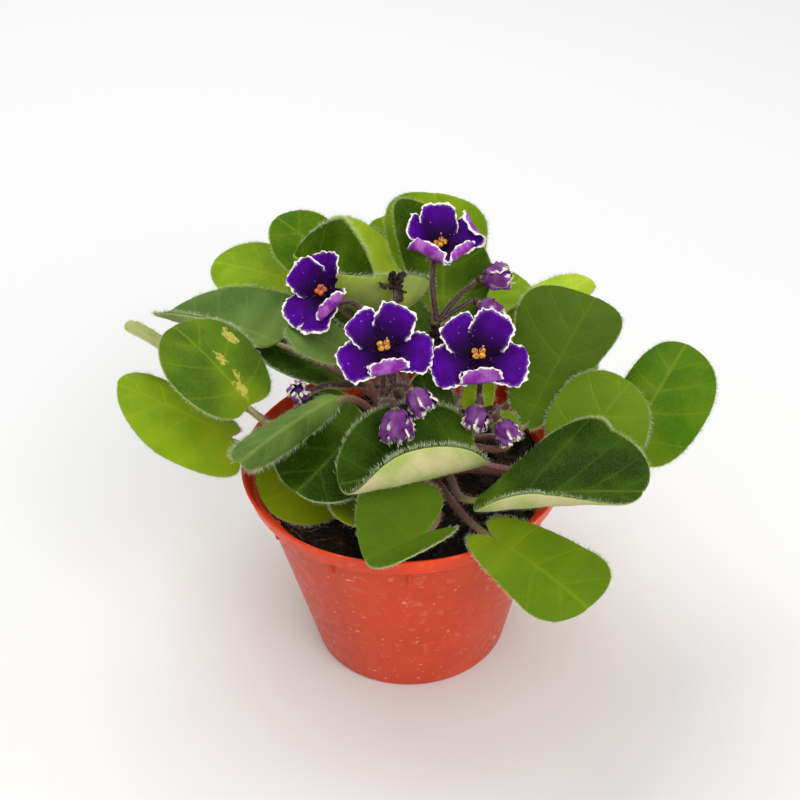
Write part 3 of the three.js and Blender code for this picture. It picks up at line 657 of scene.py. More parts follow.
@dataclass(frozen=True)
class StalkFinish(Finish):
    """A fleshy stalk: a mauve brown skin over green, streaked along its length.

    Attributes:
        skin: the main colour.
        flush: the colour of the streaks.
        green: the colour that shows near its far end.
        reach: how far along the green begins, from 0 to 1.
    """

    skin: int = 0x6E4A3C
    flush: int = 0x8C5A52
    green: int = 0x8A9A4A
    reach: float = 0.55

    def paint(self, m: Shading) -> None:
        """Lay streaks and fine grain over the skin, and turn it green towards the end."""
        along = m.mark("along")
        grain, patch = m.noise(1.1, 3.0), m.noise(9.0)
        colour = m.mix(m.step(grain, 0.35, 0.65), self.skin, self.flush)
        late = along + (patch - 0.5) * 0.5
        colour = m.mix(m.step(late, self.reach, 1.15, 0.0, 0.85), colour, self.green)
        m.bump(grain, 0.25, 0.5)
        m.glow(0.12, (1.0, 0.5, 0.3), 0.8)
        m.set(sheen_weight=0.25, sheen_roughness=0.4, sheen_tint=srgb(0xE6D8D2))
        m.wear(colour, m.step(grain, 0.3, 0.7, 0.4, 0.55), 0.4)


@dataclass(frozen=True)
class PetalFinish(Finish):
    """A velvety petal: dark in the throat, streaked from it, with painted glints and a ragged pale rim.

    Attributes:
        face: the front's colour.
        throat: the colour round the middle.
        back: the back's colour.
        worn: the back's paler clouds.
        rim: the margin's colour.
        band: the rim's width in mm.
        cloud: the front's brighter clouds.
        glint: the front's pale specks, painted glints of light on its velvet.
        seam: the dark lines along the back.
        veil: the pale haze inside the rim.
    """

    face: int = 0x48027E
    throat: int = 0x14021E
    back: int = 0x842A98
    worn: int = 0xB878C2
    rim: int = 0xF2ECE4
    band: float = 0.42
    cloud: int = 0x5E04AE
    glint: int = 0xC49AE8
    seam: int = 0x5C2385
    veil: int = 0xB58ED6

    def paint(self, m: Shading) -> None:
        """Mix front and back by the side mark, and cut the rim where the margin is near."""
        along, across, edge = m.marks("flat")
        side = m.marks("tone")[0]
        ragged, cloud = m.noise(1.3, 3.0), m.noise(5.0, 3.0)
        streak = m.made("ShaderNodeCombineXYZ", {0: across / (along + 3.0) * 0.012, 1: along * 0.0001})
        lines = m.noise(0.55, vector=streak)

        face = m.mix(m.step(lines, 0.35, 0.68, 0.0, 0.3), self.face, self.throat)
        face = m.mix(m.step(cloud, 0.4, 0.7, 0.0, 0.4), face, self.cloud)
        face = m.mix(m.step(along, 2.0, 16.0, 0.97, 0.0), face, self.throat)
        # painted highlight: pale specks that stand for light glinting off the velvet
        speck = m.step(m.cells(2.1), 0.05, 0.13, 0.9, 0.0)
        face = m.mix(speck * m.step(ragged, 0.5, 0.6), face, self.glint)
        back = m.mix(m.step(cloud, 0.4, 0.66, 0.0, 0.7), self.back, self.worn)
        back = m.mix(m.step(lines, 0.4, 0.7, 0.0, 0.35), back, self.seam)
        colour = m.mix(side, back, face)
        reach = edge + (ragged - 0.5) * 1.5
        outer = m.step(along, 4.0, 6.5)
        colour = m.mix(m.step(reach, self.band, self.band + 1.2, 0.3, 0.0) * outer, colour, self.veil)
        colour = m.mix(m.step(reach, self.band, self.band + 0.3, 1.0, 0.0) * outer, colour, self.rim)
        papillae = m.noise(0.32, 1.0)
        m.bump(lines * 0.6 + papillae * 0.4, 0.2, 0.5)
        m.glow(0.12, (0.6, 0.3, 1.0), 0.6)
        m.wear(colour, m.step(papillae, 0.3, 0.7, 0.5, 0.7), 0.04)


@dataclass(frozen=True)
class GrainFinish(Finish):
    """Two colours in clouds with fine grain: pollen sacs, a style, withered petals and dry roots.

    Attributes:
        one: the main colour.
        two: the other colour.
        grain: the width of one cloud in mm.
        depth: the relief's depth in mm.
        roughness: how matt it is.
    """

    one: int
    two: int
    grain: float = 0.8
    depth: float = 0.15
    roughness: float = 0.6

    def paint(self, m: Shading) -> None:
        """Mix the two colours by noise, and tilt the surface by the same noise."""
        cloud = m.noise(self.grain, 3.0)
        fine = m.noise(self.grain * 0.3)
        colour = m.mix(m.step(cloud, 0.38, 0.62), self.one, self.two)
        m.bump(cloud + fine * 0.5, self.depth, 0.7)
        m.wear(colour, m.step(fine, 0.3, 0.7, self.roughness - 0.08, self.roughness + 0.08), 0.4)


@dataclass(frozen=True)
class PeatFinish(Finish):
    """Moist peat, almost black, with brown fibres and a few dry crumbs."""

    wet: int = 0x0D0A08
    moist: int = 0x261B13
    fibre: int = 0x4A3524
    dry: int = 0x5A4630

    def paint(self, m: Shading) -> None:
        """Mix four browns by noise at crumb, fibre and patch size."""
        crumb = m.noise(2.4, 4.0)
        fibre = m.noise(1.2, 3.0, stretch=(1.0, 0.25, 1.0))
        patch = m.noise(9.0, 3.0)
        colour = m.mix(m.step(crumb, 0.35, 0.7), self.wet, self.moist)
        colour = m.mix(m.step(fibre, 0.6, 0.7, 0.0, 0.5), colour, self.fibre)
        colour = m.mix(m.step(patch, 0.62, 0.75, 0.0, 0.4), colour, self.dry)
        m.bump(crumb + fibre * 0.5, 0.8, 0.8)
        m.wear(colour, m.step(crumb, 0.3, 0.7, 0.95, 0.7), 0.25)


@dataclass(frozen=True)
class PlasticFinish(Finish):
    """Thin moulded plastic, its thin rim a brighter red by painted glow, with dust, pale scuffs and dry water
    marks.
    """

    body: int = 0xCA401A
    # painted light: the thin rim band glows a brighter, more saturated red where light passes through it
    rim: int = 0xE24010
    shade: int = 0xB83614
    dust: int = 0xE2A18C
    spot: int = 0xEFD9CE
    scuff: int = 0xE9C4B6

    def paint(self, m: Shading) -> None:
        """Fade the body's colour to the rim's painted glow with height, and lay dust, scuffs and marks on it."""
        height = m.height()
        cloud, dust, grit = m.noise(22.0, 3.0), m.noise(3.5, 5.0), m.noise(0.9, 4.0)
        # painted light: the rim band's brighter red, faded in by height
        colour = m.mix(m.step(height, 0.078, 0.0835), self.body, self.rim)
        colour = m.mix(m.step(cloud, 0.4, 0.65, 0.0, 0.45), colour, self.shade)
        colour = m.mix(m.step(dust, 0.52, 0.72, 0.0, 0.16), colour, self.dust)
        lone = m.step(m.cells(5.5), 0.05, 0.16, 1.0, 0.0) * m.step(grit, 0.53, 0.65)
        below = m.step(height, 0.068, 0.08, 1.0, 0.15)
        colour = m.mix(lone * 0.65 * below, colour, self.spot)
        scuff = m.step(m.noise(4.5, 5.0, stretch=(1.0, 1.0, 1.7)), 0.66, 0.74, 0.0, 0.55)
        colour = m.mix(scuff * below, colour, self.scuff)
        m.bump(grit * 0.4 + cloud, 0.12, 0.5)
        m.glow(0.06, (1.6, 0.4, 0.2), 0.8)
        m.wear(colour, m.step(dust, 0.35, 0.7, 0.3, 0.5) + scuff * 0.3, 0.18)


@dataclass(frozen=True)
class FloorFinish(Finish):
    """A plain pale studio floor."""

    pale: Colour = (0.73, 0.742, 0.76, 1.0)
    shade: Colour = (0.715, 0.727, 0.745, 1.0)

    def paint(self, m: Shading) -> None:
        """Vary an almost white floor a little."""
        m.wear(m.mix(m.noise(900.0, 1.0), self.pale, self.shade), 0.75, 0.2)


# ---------------------------------------------------------------- blades

# The numbers of the blade's formula that are the same for every leaf, petal and sepal.
LEAST_ARCH = 1.0  # degrees, for a midrib that would be straight
WAVE_LAG = 1.9  # radians between the waves of the left and the right margin
WAVE_FADE = 0.35  # the power by which those waves fade at root and tip
EAR_END = 0.55  # how far from the root the ears' sweep reaches, from 0 to 1
EAR_POWER = 1.5  # how much that sweep keeps to the margin
BEAD = 0.5  # how far from the margin its rounding reaches, in mm


def towards_ends(steps: int) -> Array:
    """Return a row of places from -1 to 1 that lie closer together near the ends."""
    return np.sin(np.linspace(-1, 1, steps + 1) * math.pi / 2)[None]


def back_to_back(upper: Array, lower: Array) -> Array:
    """Return a sheet's two faces as one grid that goes round it; the margins come once."""
    return np.concatenate([upper, lower[:, 1:-1]], axis=1)


@dataclass(frozen=True)
class Blade:
    """A leaf's or petal's surface, as the part's own solids have it, with finer relief laid on.

    The midrib is an arc from root to tip. Each half is an arc too, square to the midrib, and the
    rows near the root are swept back into the two ears.

    Attributes:
        root: where the midrib starts, in mm.
        tip: where it ends.
        width: the widest place's width in mm.
        roll: how far the left half is lifted, in degrees.
        arch: how far the midrib bends up in its middle, in degrees.
        left: the left half's slope beside the midrib, and how much more it has turned at the margin.
        right: the same of the right half.
        lobe: how far the ears reach back past the root, in mm.
        skew: how far the left half leans to the tip and the right half back.
        bias: how much wider the left half is.
        belly: above 1, the widest place lies nearer the tip.
        fullness: below 1, the outline is rounder than an ellipse.
        ruffle: how far the margin swings in and out, as a share of the width.
        ruffle_count: how often it does.
        wave: how far the margin swings up and down, in mm.
        wave_count: how often it does.
        frill: the height of the fine waves at a petal's margin, in mm.
        quilt: how far the surface stands up between two side veins, in mm.
        vein_gap: the distance of the side veins along the midrib, in mm.
        rib: the radius of the midrib's ridge on the underside, in mm.
        thickness: the thickness away from the margin, in mm.
        seed: the draw of the fine waves.
    """

    root: Vec
    tip: Vec
    width: float
    roll: float = 0.0
    arch: float = 0.0
    left: tuple[float, float] = (0.0, 0.0)
    right: tuple[float, float] = (0.0, 0.0)
    lobe: float = 0.0
    skew: float = 0.0
    bias: float = 0.0
    belly: float = 0.86
    fullness: float = 0.9
    ruffle: float = 0.0
    ruffle_count: float = 1.0
    wave: float = 0.9
    wave_count: float = 1.5
    frill: float = 0.0
    quilt: float = 0.22
    vein_gap: float = 11.0
    rib: float = 0.75
    thickness: float = 0.8
    seed: int = 0

    @property
    def chord(self) -> float:
        """Return the straight distance from root to tip."""
        return float(np.linalg.norm(np.subtract(self.tip, self.root)))

    def axes(self) -> tuple[Array, Array, Array]:
        """Return the directions along the midrib, to its left, and out of the upper side."""
        along = unit(np.subtract(self.tip, self.root))
        left = turned(unit(np.cross(UP, along)), along, self.roll)
        return along, left, np.cross(along, left)

    def half(self, t: Array) -> Array:
        """Return the greatest half width on the side that t lies on."""
        return self.width / 2 * (1 + self.bias * np.sign(t))

    def middle(self, s: Array, t: Array) -> tuple[Array, Array, Array]:
        """Return the points midway through the thickness, with their flat places along and across.

        The outline is a power of a sine, and each half bends by the same amount for each mm.

        Args:
            s: 0 at the root to 1 at the tip.
            t: -1 at the right margin to 1 at the left one.

        Returns:
            Points, distances along the midrib, and distances across it.
        """
        s, t = np.broadcast_arrays(np.asarray(s, float), np.asarray(t, float))
        along, left, out = self.axes()
        bend = math.radians(LEAST_ARCH if abs(self.arch) < LEAST_ARCH else self.arch)
        radius = self.chord / (2 * math.sin(bend / 2))
        side = np.where(t > 0, 1.0, -1.0)
        half = self.half(t)
        share = (1 - np.cos(math.pi * s)) / 2
        turn = bend * (share - 0.5)
        bow = np.maximum(np.sin(math.pi * s**self.belly), 0)
        spread = bow**self.fullness * half * np.abs(t)
        margin = 1 + self.ruffle * np.cos(self.ruffle_count * 2 * math.pi * s) * t * t
        fold = np.radians(np.where(t > 0, self.left[0], self.right[0]))
        curl = np.radians(np.where(t > 0, self.left[1], self.right[1]))
        curve = np.where(np.abs(curl) < 0.01, 0.01, curl) / half
        reach = spread * margin
        slope = fold + curve * reach
        sideways = side * (np.sin(slope) - np.sin(fold)) / curve
        swing = np.sin(self.wave_count * 2 * math.pi * s + np.where(t > 0, 0.0, WAVE_LAG))
        rise = (np.cos(fold) - np.cos(slope)) / curve + self.wave * swing * t * t * bow**WAVE_FADE
        ear = self.lobe * np.sin(math.pi * np.minimum(1, s / EAR_END)) * np.abs(t) ** EAR_POWER
        lean = self.skew * spread * side - ear
        forward = (radius + rise) * np.sin(turn) + self.chord / 2 + lean * np.cos(turn)
        height = (radius + rise) * np.cos(turn) - radius * math.cos(bend / 2) - lean * np.sin(turn)
        points = (np.asarray(self.root, float) + forward[..., None] * along
                  + sideways[..., None] * left + height[..., None] * out)
        return points, share * self.chord + lean, side * reach

    def normal(self, s: Array, t: Array) -> Array:
        """Return the directions out of the upper side, from two small steps each way."""
        step = 0.004
        s = np.clip(s, 0.03, 0.97)
        t = np.clip(t, -1 + step, 1 - step)
        by_s = self.middle(s + step, t)[0] - self.middle(s - step, t)[0]
        by_t = self.middle(s, t + step)[0] - self.middle(s, t - step)[0]
        return unit(np.cross(by_s, by_t))

    def from_margin(self, points: Array) -> Array:
        """Return each point's distance from the outline, in mm."""
        s = np.linspace(0, 1, 110)[:, None]
        line = self.middle(s, np.array([[-1.0, 1.0]]))[0].reshape(-1, 3)
        flat = points.reshape(-1, 3)
        square = (flat**2).sum(1)[:, None] - 2 * flat @ line.T + (line**2).sum(1)[None]
        return np.sqrt(np.maximum(square.min(axis=1), 0)).reshape(points.shape[:-1])

    def vein_phase(self, along: Array, across: Array) -> Array:
        """Return a number that is whole on each side vein.

        A vein that leaves the midrib at a place runs nearly square to it near the root and leans
        further to the tip the later it leaves, and all bow towards the tip.
        """
        away = np.abs(across)
        start = (along + 0.25 * away - 0.011 * away**2) / (1 + 1.35 * away / self.chord)
        return start / self.vein_gap + 0.35

    def skin(self, s: Array, t: Array, side: float) -> tuple[Array, Array, dict[str, Array]]:
        """Return the points of one face, the way out of it, and the marks that its finish reads.

        The face lies half the thickness from the middle, less where the margin is near, as on a
        rounded edge. The quilting is a squared sine between the side veins, the midrib is a
        groove above and a ridge below, and a petal's margin gets fine waves.

        Args:
            s: 0 at the root to 1 at the tip.
            t: -1 at the right margin to 1 at the left one.
            side: 1 for the upper face, -1 for the lower one.

        Returns:
            Points in mm, directions, and the marks.
        """
        s, t = np.broadcast_arrays(np.asarray(s, float), np.asarray(t, float))
        points, along, across = self.middle(s, t)
        normal = self.normal(s, t)
        edge = self.from_margin(points)
        phase = self.vein_phase(along, across)
        if self.frill:
            ripple = lumps(points, 1.5, self.seed) + 0.6 * lumps(points, 3.2, self.seed + 1)
            points = points + normal * (self.frill * ripple * np.exp(-edge / 1.6))[..., None]
            centre = self.middle(np.array(0.5), np.array(0.0))[0]
            scallop = 0.055 * lumps(points, 1.3, self.seed + 2) * np.exp(-edge / 1.2)
            points = points + (points - centre) * scallop[..., None]
        away = np.abs(across)
        calm = np.clip(edge / 3.0, 0, 1) * np.clip(away / 4.0, 0, 1)
        lift = self.quilt * (np.sin(math.pi * phase) ** 2 - 0.5) * calm
        fading = np.clip(1.15 - s, 0, 1)
        lift = lift - 0.35 * self.rib * np.exp(-(away / 1.1) ** 2) * fading
        rounding = np.clip(edge / BEAD, 0, 1)
        half = self.thickness / 2 * np.sqrt(np.maximum(1 - (1 - rounding) ** 2, 0))
        if side < 0:
            ridge = np.sqrt(np.maximum(self.rib**2 - away**2, 0)) * fading**1.5
            half = half + ridge * rounding
        points = points + normal * (lift + side * half)[..., None]
        upper = np.full_like(along, side > 0)
        marks = {
            "flat": np.stack([along, across, edge], axis=-1),
            "tone": np.stack([upper, phase, np.abs(t)], axis=-1),
        }
        return points, normal * side, marks

    def shell(self, rows: int, columns: int, slot: int = 0) -> Shell:
        """Return the whole blade, closed, with its samples drawn together near the margin.

        Args:
            rows: steps from root to tip.
            columns: steps from margin to margin on each face.
            slot: which of the piece's materials it wears.

        Returns:
            The blade.
        """
        s = np.linspace(0, 1, rows + 1)[:, None]
        t = towards_ends(columns)
        upper, _, above = self.skin(s, t, 1.0)
        lower, _, below = self.skin(s, t[:, ::-1], -1.0)
        marks = {name: back_to_back(above[name], below[name]) for name in above}
        return wrapped(back_to_back(upper, lower), marks, slot)

    def scattered(self, count: int, rng: Draw) -> tuple[Array, Array]:
        """Return places s, t spread evenly over the blade, by keeping draws as the width asks."""
        share, t = rng.uniform(0, 1, 3 * count), rng.uniform(-1, 1, 3 * count)
        s = np.arccos(1 - 2 * share) / math.pi
        kept = rng.uniform(0, 1, 3 * count) < np.sin(math.pi * s**self.belly) ** self.fullness
        return s[kept][:count], t[kept][:count]

    def area(self) -> float:
        """Return the blade's area in square mm, as a full ellipse."""
        return math.pi / 4 * self.width * self.chord * 1.1


# ---------------------------------------------------------------- crown and leaves


@dataclass(frozen=True)
class Crown:
    """The short stem in the pot's middle that carries every leaf and stalk. Sizes are in mm."""

    centre: Vec = (8.0, 0.0, 0.0)
    radius: float = 9.0
    root_z: float = 66.0
    top_z: float = 105.0
    soil_z: float = 80.0
    scars: float = 0.5

    def build(self) -> None:
        """Turn the stem's outline, swell it with scars where leaves have dropped, and dress it."""
        r = self.radius
        profile = np.array([
            (0, self.root_z), (0.3 * r, self.root_z), (0.45 * r, self.root_z),
            (0.9 * r, self.soil_z - 6), (r, self.soil_z + 4), (r, self.top_z - 4),
            (0.75 * r, self.top_z - 1), (0.4 * r, self.top_z), (0, self.top_z),
        ])
        side = even(np.pad(profile[1:-1], ((0, 0), (0, 1))), 60)[:, :2]
        shell = spun(np.vstack([profile[0], side, profile[-1]]), 48, {"along": 0.3})
        swell = self.scars * lumps(shell.points, 3.5, 11)
        shell.points = shell.points + unit(shell.points * (1, 1, 0)) * swell[:, None]
        shell.points = shell.points + np.asarray(self.centre)
        finish = StalkFinish("crown_skin", 0x2E2A1A, 0x4A3A28)
        put("crown_stem", [shell], [finish], ["crown"])


class LeafTone(Enum):
    """The leaves' colours, painted lighter or darker from those that the light shines through to those in shade;
    GREY has a painted hair sheen.
    """

    LIGHT = LeafFinish("leaf_light", 0x7C9A14, 0x64860A, 0x98A820, 0xC9CC86, 0xA8B860, 0.3)
    BRIGHT = LeafFinish("leaf_bright", 0x507208, 0x386204, 0x80921A, 0xC3C584, 0xA4B458, 0.3)
    LIT = LeafFinish("leaf_lit", 0xA6BC30, 0x92AA20, 0xB6C648, 0xC4CE60, 0xC0CC6C, 0.4)
    MID = LeafFinish("leaf_mid", 0x4A680E, 0x2E4E04, 0x748E1C, 0xB4C848, 0x9CAC5A, 0.25)
    GREY = LeafFinish("leaf_grey", 0x5A7838, 0x466428, 0x7C9040, 0xC0C484, 0xA4B468, 0.25)
    DARK = LeafFinish("leaf_dark", 0x2C4A06, 0x183000, 0x587616, 0xC8BE90, 0xA0B060, 0.2)
    OLIVE = LeafFinish("leaf_olive", 0x667E02, 0x526A00, 0x88980C, 0xB9BC64, 0xA8B04C, 0.25)
    SPOTTED = LeafFinish("leaf_spotted", 0x547612, 0x3E5E16, 0x8A9A14, 0xC6C884, 0xA0B058, 0.3,
                          ((27.6, -20.0, 3.2), (21.0, -5.0, 2.6), (12.0, -5.5, 1.8), (6.5, -2.5, 2.8)))


LEAF_GRID, SMALL_GRID = (84, 46), (40, 26)  # a blade's steps along it and across each face
SMALL_CHORD = 20.0  # blades shorter than this, in mm, get the small grid
PETIOLE_RADII = (1.75, 1.25)  # at the crown and under the blade, in mm
PETIOLE_END = (1.0, 0.95, 0.8, 0.55)  # how its last four rings narrow
FRINGE_DENSITY = 5.5  # margin hairs for each mm of the outline


@dataclass(frozen=True)
class Leaf:
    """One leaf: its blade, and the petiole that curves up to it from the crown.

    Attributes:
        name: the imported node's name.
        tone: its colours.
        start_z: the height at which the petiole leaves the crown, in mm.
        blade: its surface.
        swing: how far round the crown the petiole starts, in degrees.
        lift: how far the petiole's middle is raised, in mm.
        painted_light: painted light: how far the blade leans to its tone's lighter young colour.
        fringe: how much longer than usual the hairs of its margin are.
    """

    name: str
    tone: LeafTone
    start_z: float
    blade: Blade
    swing: float = 0.0
    lift: float = 0.0
    painted_light: float = 0.0
    fringe: float = 1.0

    def petiole_path(self, crown: Crown, count: int = 26) -> Array:
        """Return the petiole's middle line: a cubic curve from inside the crown to under the blade."""
        along, _, out = self.blade.axes()
        slope = math.radians(self.blade.arch) / 2
        heading = along * math.cos(slope) + out * math.sin(slope)
        root = np.asarray(self.blade.root, float)
        axis = np.array([crown.centre[0], crown.centre[1], self.start_z])
        radial = turned(unit((root - axis) * (1, 1, 0)), UP, self.swing)
        start = axis + radial * (crown.radius - 3)
        reach = float(np.linalg.norm(root - start))
        first = start + 0.4 * reach * radial + self.lift * UP
        second = root - 0.3 * reach * heading - UP
        return bezier(start, first, second, root + 4.0 * heading - 1.15 * out, count)

    def build(self, crown: Crown, seed: int) -> None:
        """Build the leaf and its hairs.

        Args:
            crown: what it grows from.
            seed: the draw of its hairs.
        """
        rng = np.random.default_rng(seed)
        blade = self.blade.shell(*(SMALL_GRID if self.blade.chord < SMALL_CHORD else LEAF_GRID))
        path = self.petiole_path(crown)
        radius = np.linspace(*PETIOLE_RADII, len(path))
        radius[-len(PETIOLE_END):] *= PETIOLE_END
        petiole = tube(path, radius, 16, slot=1, flatness=0.12)
        tone = self.tone.value
        # a leaf with painted light gets its own lightened copy of its tone
        skin = replace(tone, name=f"{self.name}_skin", painted_light=self.painted_light) if self.painted_light else tone
        finishes = [skin, StalkFinish("petiole_skin")]
        put(f"{self.name}_blade", [blade, petiole], finishes, [self.name])
        down = coat(path, radius, 5.0, 1.3, rng, slot=2)
        finishes = [
            HairFinish("leaf_hair", 0x869C4C, 0xE6ECD0),
            HairFinish(f"{tone.name}_down", tone.young, 0x9CB050),
            HairFinish("petiole_hair", 0x7A5A48, 0xC8B49C),
        ]
        put(f"{self.name}_hairs", [*self.fur(rng), down], finishes, [])

    def fur(self, rng: Draw) -> list[Shell]:
        """Return the blade's hairs: short ones on both faces, and a longer fringe round the margin."""
        blade, found = self.blade, []
        for side, density, tall, slot in ((1.0, 0.9, 1.0, 1), (-1.0, 0.6, 0.9, 0)):
            s, t = blade.scattered(int(blade.area() * density), rng)
            points, ways, _ = blade.skin(s, t, side)
            tangent = unit(rng.normal(size=ways.shape) + 0.8 * blade.axes()[0])
            lengths = rng.uniform(0.6, 1.3, len(points)) * tall
            found.append(hairs(points, unit(ways + 0.55 * tangent), lengths, 0.028, rng, slot=slot))
        count = int(FRINGE_DENSITY * math.pi / 2 * (blade.width + blade.chord))
        s = np.arccos(1 - 2 * rng.uniform(0.002, 0.998, count)) / math.pi
        t = np.where(rng.uniform(size=count) < 0.5, -1.0, 1.0)
        points, up, _ = blade.skin(s, t, 1.0)
        ways = unit(points - blade.skin(s, 0.9 * t, 1.0)[0])
        ways = ways + up * rng.uniform(-0.35, 0.9, (count, 1)) + 0.25 * rng.normal(size=(count, 3))
        lengths = self.fringe * rng.uniform(0.8, 2.3, count)
        found.append(hairs(points, ways, lengths, 0.044 * math.sqrt(self.fringe), rng, bent=True))
        return found


def coat(path: Array, radius: Array, density: float, length: float, rng: Draw,
         slot: int = 0) -> Shell:
    """Return the hairs of a stalk, which stand off it all round.

    Args:
        path: the stalk's middle line in mm.
        radius: its radius at each place.
        density: hairs for each mm of its length.
        length: the hairs' middle length in mm.
        rng: their draw.
        slot: which of the piece's materials they wear.

    Returns:
        The hairs.
    """
    total = float(np.linalg.norm(np.diff(path, axis=0), axis=1).sum())
    count = int(total * density)
    place = rng.uniform(0.04, 0.98, count) * (len(path) - 1)
    low = place.astype(int)
    share = (place - low)[:, None]
    middle = path[low] * (1 - share) + path[low + 1] * share
    thick = radius[low] * (1 - share[:, 0]) + radius[low + 1] * share[:, 0]
    ways = unit(path[low + 1] - path[low])
    off = unit(np.cross(ways, rng.normal(size=(count, 3))))
    lengths = rng.uniform(0.6, 1.4, count) * length
    roots = middle + 0.95 * thick[:, None] * off
    return hairs(roots, off + 0.3 * ways, lengths, 0.045, rng, bent=True, slot=slot)


